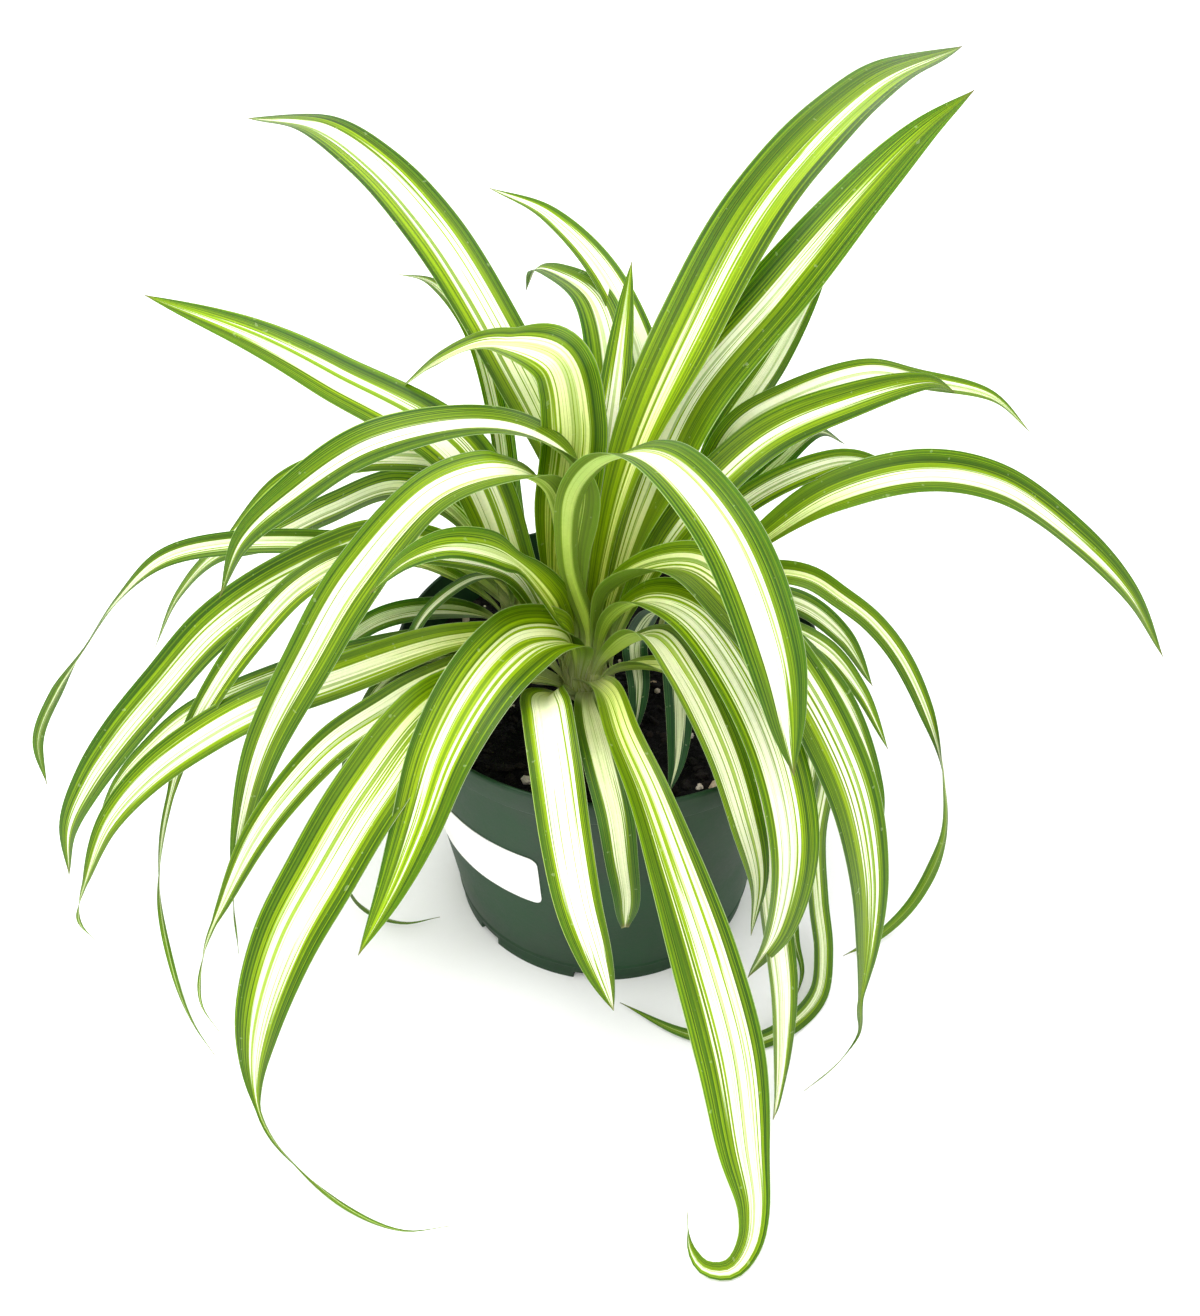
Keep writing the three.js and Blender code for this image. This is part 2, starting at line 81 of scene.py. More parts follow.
# Crumbs of the mix, coarse and fine: height, seed, number of waves, finest and coarsest length.
CRUMBS = ((0.9, 11, 60, 2.5, 22), (0.35, 12, 60, 1.2, 4))

# Loose grains on the mix: the two tints that they lie between, then how many at most, the seed, the
# smallest and the largest size, the least thickness as a share of it, how far from the axis they lie, and
# how far they are raised, as a share of their size.
GRAINS = {
    "bark_grains": (("#030302", "#1d1610"), (1500, 21, 0.5, 3.2, 0.25, 71.5, 0.1)),
    "pale_grains": (("#b9a17c", "#efe9dc"), (120, 22, 0.5, 3.6, 0.5, 71.0, 0.4)),
}

# The rosettes: axis x and y, radius at the mix, height above it, radius at the top.
CROWNS = {
    "main": (-8.0, -2.0, 9.5, 27.0, 3.0),
    "left": (-33.0, 30.0, 7.5, 18.0, 2.5),
    "right": (26.0, 34.0, 7.5, 18.0, 2.5),
}
CROWN_RAISE = 0.3
CORE_INSET = 0.5
CORE_HEAD = 1.2

# Blades, in millimetres: how far their bases stand off the rosette, how deep their sheaths start below
# its foot, and how many millimetres a sheath rises for each one that it leans out.
BLADE_SEAT = 1.2
SHEATH_DEPTH = 1.5
SHEATH_RISE = 27

# The width of a blade: its share at the seat, where along it is full, how late it narrows, its least
# half, what a clasping foot adds as a share of it and in millimetres; and how far a tail turns.
SEAT_WIDTH, FULL_WIDTH_AT = 0.3, 0.32
TAPER = 4.6
LEAST_HALF = 0.12
CLASP_SHARE, CLASP_WIDTH = 0.16, 2.6
TAIL_TWIST = 240

# The section of a blade: the fold of its V at the seat and its fall, in degrees, the rounding of the
# groove and the bulge of the halves; the skin's half thickness at a margin and what the middle adds; the
# midrib; and the margins' waves, each as height, shortest and longest, and the half width that has them
# in full.
FOLD, FOLD_FALL = 34, 20
GROOVE, BULGE = 0.014, 0.16
EDGE_SKIN, MIDDLE_SKIN = 0.06, 0.17
RIB_DEPTH, RIB_SPREAD = 0.45, 0.9
WAVES, WAVED_HALF = ((0.28, 9, 13), (0.55, 22, 34)), 13

# Stations along a sheath and a blade, spans of the line below the seat, steps of a line in each span,
# and the places across a blade from its left margin to its right one.
SHEATH_STATIONS = 12
BLADE_STATIONS = 104
SHEATH_SPANS = 3
LINE_STEPS = 40
ACROSS = np.array([1, 0.985, 0.94, 0.86, 0.74, 0.6, 0.45, 0.3, 0.17, 0.07, 0])
ACROSS = np.concatenate([ACROSS, -ACROSS[-2::-1]])


def row(crown, heading, width, seat, route, margins=None, fine=0.5, **more):
    """A leaf of the table: its rosette, the heading of its reach in degrees from +X, its width, the height
    where it leaves the rosette and the points of its midrib: reach, height and, if any, offset to the
    left. Its stripes: green margins as shares of the width, left then right, and how many thin lines the
    pale core has. More may hold roll and form, the turn about the midrib in degrees and the share of the
    width, spread evenly along it; taper, how late it narrows; tail, where along it a narrow tail starts
    and the tail's width; band, the centre, width and strength of a yellow-green band in the core; cream,
    how yellow the core is; and dark, how much painted shade it has: a deeper green and a greyer core,
    for a leaf that lies low or inside the tuft."""
    route = [tuple(map(float, point.split())) for point in route.split(", ")]
    return dict(crown=crown, heading=heading, width=width, seat=seat, route=route, margins=margins,
                fine=fine, **more)


LEAVES = {
    "tall_right": row("main", 60, 27, 130, "16 170, 34 195, 68 222, 118 250, 212 260, 316 242",
        (0.42, 0.26), 0.8, roll=(0, 12), band=(0.7, 0.05, 1.0)),
    "tall_right_back": row("main", 47, 30, 117, "14 146 -1, 31 173 2, 56 203 4, 104 225 6, 147 249 5, "
        "180 265 3, 207 274", (0.34, 0.48), 0.2, roll=(0, 15), band=(0.44, 0.02, 0.6)),
    "tall_left": row("main", 126, 23, 128, "23 152 -10, 38 190 -8, 56 219 -2, 85 241, 109 250, 140 256, "
        "182 255, 248 234", (0.3, 0.28), 0.6, roll=(0, -8), taper=5.5, band=(0.38, 0.04, 0.9)),
    "spike": row("main", 84, 14, 124, "17 152, 36 190 -2, 74 241 -5", (0.33, 0.33), 0.1),
    "back_arch": row("main", 92, 15, 122, "28 160 -13, 60 191 -23, 90 220 -10, 125 232 14, 150 231 38"),
    "back_curl": row("main", 94, 20, 118, "31 158 -8, 62 205 -10, 86 218 -5, 109 217 8, 122 211 16, "
        "127 199 19", (0.36, 0.32), 0.3, dark=0.3),
    "folded_back": row("main", 146, 25, 119, "15 136 -3, 15 177 -7, 13 211 -8, 19 235 -6, 44 234 -3, "
        "67 219 -2, 84 202", (0.2, 0.26), 0.9, roll=(-10, -40, -50, -45, -30, 15, 0, -5),
        band=(0.55, 0.08, 0.5), cream=1.0),
    "back_right_short": row("right", 60, 14, 118, "12 145, 30 172, 70 186, 100 202, 120 218"),
    "left_back_tip": row("left", 126, 9, 117, "10 150, 16 190, 32 220, 57 227, 84 219"),
    "left_back_low": row("left", 100, 9, 113, "13 126, 42 142, 64 170, 62 196", (0.28, 0.28), dark=0.2),
    "left_straight": row("main", 153, 25, 111, "27 147 4, 53 190, 106 206, 140 213, 188 216",
        (0.31, 0.28), 0.2, roll=(-10, -25), taper=3.8, band=(0.6, 0.04, 1.0)),
    "left_arch": row("main", 179, 20.5, 131, "5 165 -2, 4 200 -3, 18 213 -3, 38 217 -3, 74 209, 103 187, "
        "123 166, 134 140", (0.37, 0.33), 0.1, roll=(30, 25, -5, -40, -55), band=(0.5, 0.02, 0.0),
        dark=0.22),
    "left_arch_front": row("main", 202, 21, 122, "8 155 -3, 14 195 -4, 34 213 6, 55 206 1, 84 176, "
        "103 146, 122 112, 133 80, 141 44, 143 8", (0.36, 0.26), 0.7, roll=(40, 30, -38, -48, -55),
        tail=(0.9, 3), band=(0.42, 0.03, 0.9), dark=0.2),
    "left_inner_high": row("main", 226, 19, 119, "12 141, 22 160 2, 36 181 1, 50 194, 66 202 -2, "
        "80 202 -4, 93 195 -6", (0.28, 0.38), 0.8, roll=(-25, -55, -45, -30, -35), form=(0.5, 0.85, 1, 1,
        0.8, 0.5, 0.8, 0.75, 0.55, 0.3, 0), cream=1.0, dark=0.12),
    "left_inner_low": row("main", 178, 14, 116, "16 137, 28 157, 53 162, 74 158", roll=(-10, -30)),
    "left_out_back": row("left", 180, 10, 114, "28 136, 65 143, 110 142, 136 134, 157 113, 174 88, "
        "188 66, 201 38, 202 12", (0.3, 0.34), 0.3, roll=(-20, -45, -50, -50, -50, -30, -5, 10, 60, 70,
        70), form=(0.5, 0.85, 1, 1, 0.95, 0.85, 0.6, 0.4, 0.6, 0.5, 0), dark=0.25),
    "left_out_thin": row("left", 164, 15, 108, "16 136 -3, 31 157, 50 160, 78 143, 104 124, 130 109, "
        "151 83, 167 50", (0.3, 0.3), 0.7, roll=(-10, -45), form=(0.5, 0.85, 1, 1, 1, 0.95, 0.8, 0.6,
        0.45, 0.25, 0), dark=0.2),
    "left_mid_back": row("left", 170, 14, 121, "12 155, 28 176, 48 177, 72 170, 94 157, 122 124",
        roll=(-10, -40)),
    "left_wide": row("left", 195, 21, 118, "28 147, 54 155, 73 150, 97 139, 118 124, 139 101, 158 79, "
        "173 58, 184 36, 188 10", (0.28, 0.33), roll=(-10, -45), taper=6, band=(0.34, 0.03, 0.9),
        dark=0.12),
    "left_hanging": row("left", 210, 14, 109, "16 125, 40 149, 66 162, 88 157, 109 140, 124 123, 136 105, "
        "145 84, 153 58, 158 26, 161 4 18, 162 3 40, 160 3 58", (0.3, 0.3), 0.7, roll=(-10, -40), taper=4,
        tail=(0.66, 3.5), dark=0.12),
    "left_low": row("main", 197, 18, 113, "18 131, 50 136, 96 127, 122 121, 143 111, 163 97, 180 78, "
        "192 52, 199 24 -6, 194 4 -10", (0.26, 0.28), 0.6, roll=(-10, -45), tail=(0.86, 3.5)),
    "left_low_back": row("main", 190, 12, 108, "20 124 -5, 56 129 -4, 94 127, 123 118, 146 107, 162 93, "
        "177 75, 190 48", (0.26, 0.26), 0.7, roll=(-10, -45), dark=0.2),
    "left_low_front": row("main", 208, 16, 109, "27 130, 63 128, 81 122, 100 114, 118 99, 133 81, 146 58, "
        "158 32, 163 10 4, 160 3 14", (0.26, 0.24), 0.6, roll=(-10, -40), tail=(0.82, 3)),
    "front_left_folded": row("main", 236, 28, 113, "18 141 5, 34 150, 53 152, 70 146, 86 133, 102 112 1, "
        "118 93 1, 134 77", (0.27, 0.27), 1.0, roll=(-10, -35, -20, -10), taper=3.4,
        band=(0.48, 0.06, 1.0), cream=0.3),
    "front_left_big": row("main", 226, 28, 106, "30 125, 71 138, 104 118, 128 95, 145 76, 160 46, 166 18, "
        "169 4 6, 172 3 22, 170 3 56, 162 3 76, 149 3 86", (0.29, 0.31), 0.7, roll=(-10, -30, -10),
        taper=5, tail=(0.74, 3), band=(0.58, 0.03, 0.9), cream=0.2),
    "floor_left": row("main", 199, 8, 106, "24 115 4, 50 130, 76 125, 92 90, 98 40, 96 18, 88 5 1, "
        "77 3 7, 63 3 8", (0.36, 0.36), 0.3, dark=0.3),
    "front_narrow": row("main", 263, 18.5, 106, "16 112 -5, 37 130 -10, 56 138 -6, 76 132 0, 92 115 6, "
        "104 98 12, 110 82 18, 113 56 26", (0.16, 0.25), 0.3, taper=7, band=(0.5, 0.02, 0.0)),
    "front_short": row("main", 276, 13.5, 108, "22 116 -2, 46 124 -2, 68 128 -1, 84 119 2, 91 103 4, "
        "93 86 6, 91 70 6", (0.27, 0.27), 0.4, form=(0.5, 0.7, 0.88, 1, 1, 1, 0.97, 0.9, 0.8, 0.66, 0.2),
        cream=0.6, dark=0.4),
    "front_big": row("main", 282, 25, 112, "18 120 -1, 37 131, 62 134, 84 128 4, 101 112 9, 121 83 17, "
        "140 54 23, 158 26 25, 171 9 26, 181 4 22, 188 3 14, 186 3 6, 178 3 3, 164 3 5", (0.17, 0.36),
        1.0, roll=(0, 0, 0, 10, -10, -10), tail=(0.95, 1.6), form=(0.45, 0.48, 0.55, 0.66, 0.84, 0.97,
        1.0, 0.9, 0.58, 0.26, 0), band=(0.42, 0.02, 0.6), cream=0.15),
    "front_stub": row("main", 273, 6, 106, "14 108, 22 108 -2, 29 108 -4, 35 105 -4"),
    "front_right_arch": row("main", 290, 24, 131, "5 166 -9, 9 200 -9, 24 223 -1, 43 232 8, 74 223 18, "
        "99 192 26, 112 150 31", (0.33, 0.26), 0.1, roll=(0, 0, 5, 25, 35, 40), form=(0.34, 0.36, 0.4,
        0.55, 0.8, 0.97, 1, 1, 0.92, 0.62, 0), band=(0.37, 0.015, 0.8), dark=0.14),
    "right_fall_outer": row("main", 315, 23, 125, "9 154, 48 187, 71 182, 96 168, 113 152, 126 133, "
        "136 104, 140 74, 141 44, 137 12 8, 136 4 -2, 135 3 -18", (0.22, 0.5), 0.6, roll=(10, 10),
        taper=5, tail=(0.82, 3), band=(0.33, 0.03, 0.9), dark=0.1),
    "right_fall_middle": row("main", 307, 21, 120, "13 144, 34 168, 60 177, 86 166, 107 146 -1, "
        "120 119 -3, 119 79 -4, 106 41 -4", (0.36, 0.18), 0.7, roll=(10, 10), taper=6,
        band=(0.55, 0.02, 0.7)),
    "right_fall_low": row("main", 302, 19, 108, "17 123 2, 38 138 7, 60 142 10, 83 126 14, 92 102 17, "
        "102 74 15, 119 43 11, 129 18 6, 134 4 2, 140 3 -4", (0.19, 0.19), 0.6, taper=8),
    "right_fall_inner": row("main", 296, 19, 115, "17 133 2, 36 153 8, 57 150 10, 83 137 11, 100 122 11, "
        "107 95 15, 109 70 13", (0.2, 0.15), 0.7, cream=0.3),
    "right_soil_front": row("right", 250, 10, 112, "18 122 -4, 34 124 -4, 46 127 -1, 55 119 4, 62 111 6, "
        "68 105 7", (0.31, 0.31), taper=6, dark=1.0),
    "right_soil_back": row("right", 262, 12, 108, "18 122 3, 38 129 4, 54 128 6, 70 119 9, 82 111 10, "
        "94 105 9", (0.26, 0.34), taper=6, dark=1.0),
    "right_up": row("main", 33, 18, 112, "22 141, 39 165, 73 188, 113 192, 152 188, 167 178",
        (0.41, 0.34), 0.3, roll=(10, 40), band=(0.66, 0.05, 0.8), cream=0.3),
    "right_up_back": row("right", 25, 15, 120, "6 155, 22 186 3, 47 192 8, 81 194 9, 106 184 10, "
        "137 172 5, 155 154", roll=(10, 40)),
    "right_out": row("right", 8, 19, 110, "13 125, 30 142, 56 162, 89 170, 121 162, 157 134, 184 105, "
        "206 69", (0.4, 0.3), 0.2, roll=(15, 45), band=(0.6, 0.02, 0.5)),
    "right_out_short": row("right", 20, 12, 115, "9 141, 30 160, 64 168, 83 160, 95 147", roll=(10, 40)),
    "right_out_dark": row("right", 40, 9, 110, "14 133, 28 148, 50 160, 68 166, 86 153", (0.3, 0.3), 1.0,
        roll=(10, 30), dark=0.5),
    "right_twisted": row("right", 332, 10, 113, "12 130, 38 145, 53 148, 65 144, 78 138, 91 126, 105 103, "
        "114 79, 119 45, 114 14 -8, 106 4 -24, 98 3 -38", (0.38, 0.38), 0.3, roll=(20, 45, 50, 50, 52, 80,
        150, 205, 255, 270, 268), form=(0.5, 0.85, 1, 0.9, 0.8, 0.65, 0.45, 0.3, 0.5, 0.42, 0),
        dark=0.25),
    "right_wave": row("right", 342, 12, 106, "14 121, 46 128, 65 117, 79 96", (0.3, 0.3), 0.7,
        roll=(10, 30), dark=0.3),
    "right_hook": row("right", 326, 9, 104, "15 114, 38 124, 64 124, 80 112, 95 90", (0.3, 0.3), 0.7,
        roll=(10, 30), dark=0.2),
    "right_thin": row("right", 314, 9, 111, "12 124, 41 134, 81 123, 104 92, 110 70", (0.3, 0.3), 0.7,
        roll=(10, 30), dark=0.3),
    "right_trailing": row("right", 306, 11, 108, "18 119 2, 44 126 4, 66 126 6, 81 118 6, 87 92 4, "
        "89 60 1, 94 28 2, 103 11 -1, 114 4 -12, 119 3 -30, 117 3 -47, 100 3 -65, 74 3 -77", (0.34, 0.34),
        roll=(10, 5, 0), dark=0.35),
    "right_inside": row("right", 306, 8, 105, "16 113 -2, 44 124 -6, 66 127 -7, 82 125 -7, 90 106 -7, "
        "89 66 -9, 88 30 -6, 93 9 -6, 101 3 -9, 110 3 -19", (0.34, 0.3), 0.6, dark=0.4),
    "left_strap": row("left", 228, 6, 112, "10 132, 26 143, 50 142 1, 60 134 2, 63 117 2, 58 107 2",
        (0.34, 0.34), 0.4, dark=0.6),
    "left_soil": row("main", 186, 12, 106, "20 114 3, 45 120 3, 72 122 3, 84 119 3, 98 108 3",
        (0.28, 0.28), 0.8, roll=(-10, -30), dark=0.6),
    "left_rim": row("left", 202, 11, 105, "15 114, 34 123, 58 124, 88 104", (0.26, 0.26), 0.8,
        roll=(-10, -30), dark=0.5),
}

# Colours of a leaf. The pairs run from darker streaks to lighter ones, but CORE from white to yellow and
# the painted-shade core from the ground to the lines on it.
DEEP = ("#2b4401", "#486602")
VIVID = ("#6c8600", "#8ca602")
BAND = ("#6d8c06", "#97b114")
CORE = ("#f2f4d9", "#d8e45c")
# Painted shade for leaves that lie low or inside the tuft: a deeper green and a greyer core.
SHADE_GREEN = ("#16391a", "#2a5422")
SHADE_CORE = ("#ced6a8", "#60793e")
SHEATH = ("#aeb964", "#dadfac")
THIN_LINE, THICK_LINE = "#94a040", "#839f0a"
RIM, DRY_TIP, FLECK = "#cfdcaa", "#6b5a30", "#c9d6a4"
# Underside: its own paler green, and a tint that paints its shade and the glow of light let through it.
UNDERSIDE_AND_GLOW, UNDERSIDE_SHADE_AND_GLOW = "#a3b552", (0.66, 0.8, 0.36, 1)


def linear(colour):
    """An sRGB colour such as #3f7f1a as linear red, green, blue and alpha."""
    channels = np.array([int(colour[i:i + 2], 16) for i in (1, 3, 5)]) / 255
    lit = np.where(channels <= 0.04045, channels / 12.92, ((channels + 0.055) / 1.055) ** 2.4)
    return (*lit.tolist(), 1.0)


def ease(value, low, high):
    """Smooth step: 0 below low, 1 above high, and 3t^2 - 2t^3 of the way t between."""
    t = np.clip((value - low) / (high - low), 0, 1)
    return t * t * (3 - 2 * t)


# Meshes.

def add_piece(name, vertices, faces, material, slot, node=None, smooth=True):
    """A mesh object at the origin, from vertices in millimetres, riding on the one body and replacing the
    node where one is given. Returns its mesh."""
    mesh = bpy.data.meshes.new(name)
    faces = [tuple(dict.fromkeys(face)) for face in (faces if isinstance(faces, list) else faces.tolist())]
    mesh.from_pydata((np.asarray(vertices) * MM).tolist(), [], faces)
    mesh.polygons.foreach_set("use_smooth", np.full(len(mesh.polygons), smooth))
    mesh.materials.append(material)
    mesh.update()
    piece = bpy.data.objects.new(name, mesh)
    bpy.context.scene.collection.objects.link(piece)
    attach(piece, "root")
    if node:
        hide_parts(node)
    return mesh


def set_attribute(mesh, name, values):
    """A point attribute from one number or three numbers for each vertex."""
    values = np.ascontiguousarray(values, np.float32)
    kind, field = ("FLOAT", "value") if values.ndim == 1 else ("FLOAT_VECTOR", "vector")
    mesh.attributes.new(name, kind, "POINT").data.foreach_set(field, values.ravel())


def set_uv(mesh, name, uv):
    """A UV map whose coordinates are given for each vertex."""
    corners = np.empty(len(mesh.loops), np.int32)
    mesh.loops.foreach_get("vertex_index", corners)
    mesh.uv_layers.new(name=name).data.foreach_set("uv", np.float32(uv)[corners].ravel())


def bands(rings, around):
    """Quads between neighbouring rings of a grid whose vertices are numbered ring by ring."""
    start = around * np.arange(rings - 1)[:, None]
    here = np.arange(around)[None, :]
    following = (here + 1) % around
    quads = [start + here, start + following, start + around + following, start + around + here]
    return np.stack(quads, axis=-1).reshape(-1, 4)


def fan(ring, pole):
    """Quads with a doubled corner, which become triangles, from a ring of vertex numbers to a pole."""
    return np.stack([ring, np.roll(ring, -1), np.full(len(ring), pole), np.full(len(ring), pole)], axis=-1)


def facing_out(vertices, quads):
    """The quads, turned over if the volume they enclose comes out negative."""
    a, b, c, d = (vertices[quads[:, k]] for k in range(4))
    volume = np.sum(np.cross(a, b) * c) + np.sum(np.cross(a, c) * d)
    return quads if volume > 0 else quads[:, ::-1]


def drawn_to_poles(vertices, around, first, last):
    """A grid of rings numbered ring by ring, closed at both ends by fans to two given points."""
    count = len(vertices)
    quads = [bands(count // around, around), fan(np.arange(around)[::-1], count),
             fan(np.arange(count - around, count), count + 1)]
    vertices = np.vstack([vertices, first, last])
    return vertices, facing_out(vertices, np.vstack(quads))


def sheet(face, back):
    """A closed sheet from the grids of its two faces: their rows are joined into rings, and flat caps
    close the first ring and the last one."""
    grid = np.concatenate([face, back[:, ::-1]], axis=1)
    rings, around = grid.shape[:2]
    start = np.arange(around // 2 - 1)
    cap = np.stack([start, around - 1 - start, around - 2 - start, start + 1], axis=-1)
    vertices = grid.reshape(-1, 3)
    quads = [bands(rings, around), cap, around * (rings - 1) + cap[:, ::-1]]
    return vertices, facing_out(vertices, np.vstack(quads))


def turned(profile, angles):
    """A profile of (radius, height) rows turned about the upright axis through the angles, ring by ring."""
    radius, height = profile[:, :1], profile[:, 1:]
    x, y = radius * np.cos(angles), radius * np.sin(angles)
    return np.stack([x, y, np.broadcast_to(height, x.shape)], axis=-1).reshape(-1, 3)


def rounded(corners, radius):
    """A line of corners with each inner corner replaced by a short curve, a parabola that starts and ends
    at the given distance from it, or at under half the side's length."""
    corners = np.asarray(corners, float)
    line = [corners[:1]]
    t = np.linspace(0, 1, 5)[:, None]
    for before, corner, after, reach in zip(corners[:-2], corners[1:-1], corners[2:], radius[1:-1]):
        to, on = before - corner, after - corner
        start = corner + to * min(reach / np.linalg.norm(to), 0.45)
        end = corner + on * min(reach / np.linalg.norm(on), 0.45)
        line.append((1 - t) ** 2 * start + 2 * t * (1 - t) * corner + t ** 2 * end)
    return np.vstack([*line, corners[-1:]])


def bumps(x, y, seed, waves, finest, coarsest):
    """Seeded uneven ground between about -1 and 1: a sum of plane waves in every direction, whose
    lengths run from coarsest to finest and whose heights fall with their length."""
    rng = np.random.default_rng(seed)
    length = coarsest * (finest / coarsest) ** rng.random(waves)
    turn, phase = rng.random((2, waves)) * 2 * np.pi
    lift = np.sqrt(length / coarsest)
    total = np.zeros(np.shape(x))
    for wave in range(waves):
        along = x * np.cos(turn[wave]) + y * np.sin(turn[wave])
        total += lift[wave] * np.sin(2 * np.pi * along / length[wave] + phase[wave])
    return total / np.sqrt(np.sum(lift ** 2))


# Shader nodes.

class Net:
    """Adds nodes to one node tree. Inputs are plain values, sRGB colours such as #3f7f1a or the outputs
    of earlier nodes."""

    def __init__(self, tree):
        self.tree = tree

    def fill(self, socket, value):
        if isinstance(value, bpy.types.NodeSocket):
            self.tree.links.new(value, socket)
        else:
            socket.default_value = linear(value) if isinstance(value, str) else value

    def add(self, kind, inputs=None, **settings):
        node = self.tree.nodes.new(kind)
        for key, value in settings.items():
            setattr(node, key, value)
        for key, value in (inputs or {}).items():
            self.fill(node.inputs[key], value)
        return node

    def maths(self, operation, first, second=0.0, third=0.0):
        node = self.add("ShaderNodeMath", {0: first, 1: second, 2: third}, operation=operation)
        return node.outputs[0]

    def times(self, first, second):
        return self.maths("MULTIPLY", first, second)

    def minus(self, first, second):
        return self.maths("SUBTRACT", first, second)

    def scaled(self, value, scale, start):
        """Value times scale, plus start."""
        return self.maths("MULTIPLY_ADD", value, scale, start)

    def step(self, value, low, high, lowest=0.0, highest=1.0):
        """Smooth step of value from low to high, put out as lowest to highest."""
        inputs = {0: value, 1: low, 2: high, 3: lowest, 4: highest}
        return self.add("ShaderNodeMapRange", inputs, interpolation_type="SMOOTHSTEP").outputs[0]

    def blend(self, share, first, second, blend_type="MIX"):
        """A colour between two, or with MULTIPLY the first one times the second."""
        settings = dict(data_type="RGBA", blend_type=blend_type)
        return self.add("ShaderNodeMix", {0: share, 6: first, 7: second}, **settings).outputs[2]

    def noise(self, place, scale=1.0, detail=2.0, roughness=0.5):
        inputs = {"Vector": place, "Scale": scale, "Detail": detail, "Roughness": roughness}
        return self.add("ShaderNodeTexNoise", inputs).outputs[0]

    def split(self, vector):
        return self.add("ShaderNodeSeparateXYZ", {0: vector}).outputs

    def read(self, name, output="Vector"):
        return self.add("ShaderNodeAttribute", attribute_name=name).outputs[output]

    def group(self, tree, **inputs):
        node = self.add("ShaderNodeGroup", node_tree=tree)
        for key, value in inputs.items():
            self.fill(node.inputs[key.replace("_", " ")], value)
        return node.outputs


def new_group(name, inputs, outputs):
    """A node group with inputs and outputs by name: (Net, what it is given, what it has to put out)."""
    tree = bpy.data.node_groups.new(name, "ShaderNodeTree")
    for way, sockets in (("INPUT", inputs), ("OUTPUT", outputs)):
        for label, kind in sockets.items():
            tree.interface.new_socket(label, in_out=way, socket_type=kind)
    net = Net(tree)
    return net, net.add("NodeGroupInput").outputs, net.add("NodeGroupOutput").inputs


FLOAT, VECTOR, COLOUR = "NodeSocketFloat", "NodeSocketVector", "NodeSocketColor"


def mottle_group():
    """Uneven colour at two scales: patches, and fine grain inside them. Colour runs from Dark to Light;
    Value is the same pattern as one number."""
    net, given, put = new_group(
        "uneven_colour",
        {"Place": VECTOR, "Patch Scale": FLOAT, "Grain Scale": FLOAT, "Grain Share": FLOAT,
         "Dark": COLOUR, "Light": COLOUR},
        {"Color": COLOUR, "Value": FLOAT})
    patch = net.noise(given["Place"], given["Patch Scale"], 4.0, 0.55)
    grain = net.noise(given["Place"], given["Grain Scale"], 3.0, 0.6)
    both = net.add("ShaderNodeMix", {0: given["Grain Share"], 2: patch, 3: grain}).outputs[0]
    value = net.step(both, 0.32, 0.68)
    net.fill(put["Color"], net.blend(value, given["Dark"], given["Light"]))
    net.fill(put["Value"], value)
    return net.tree


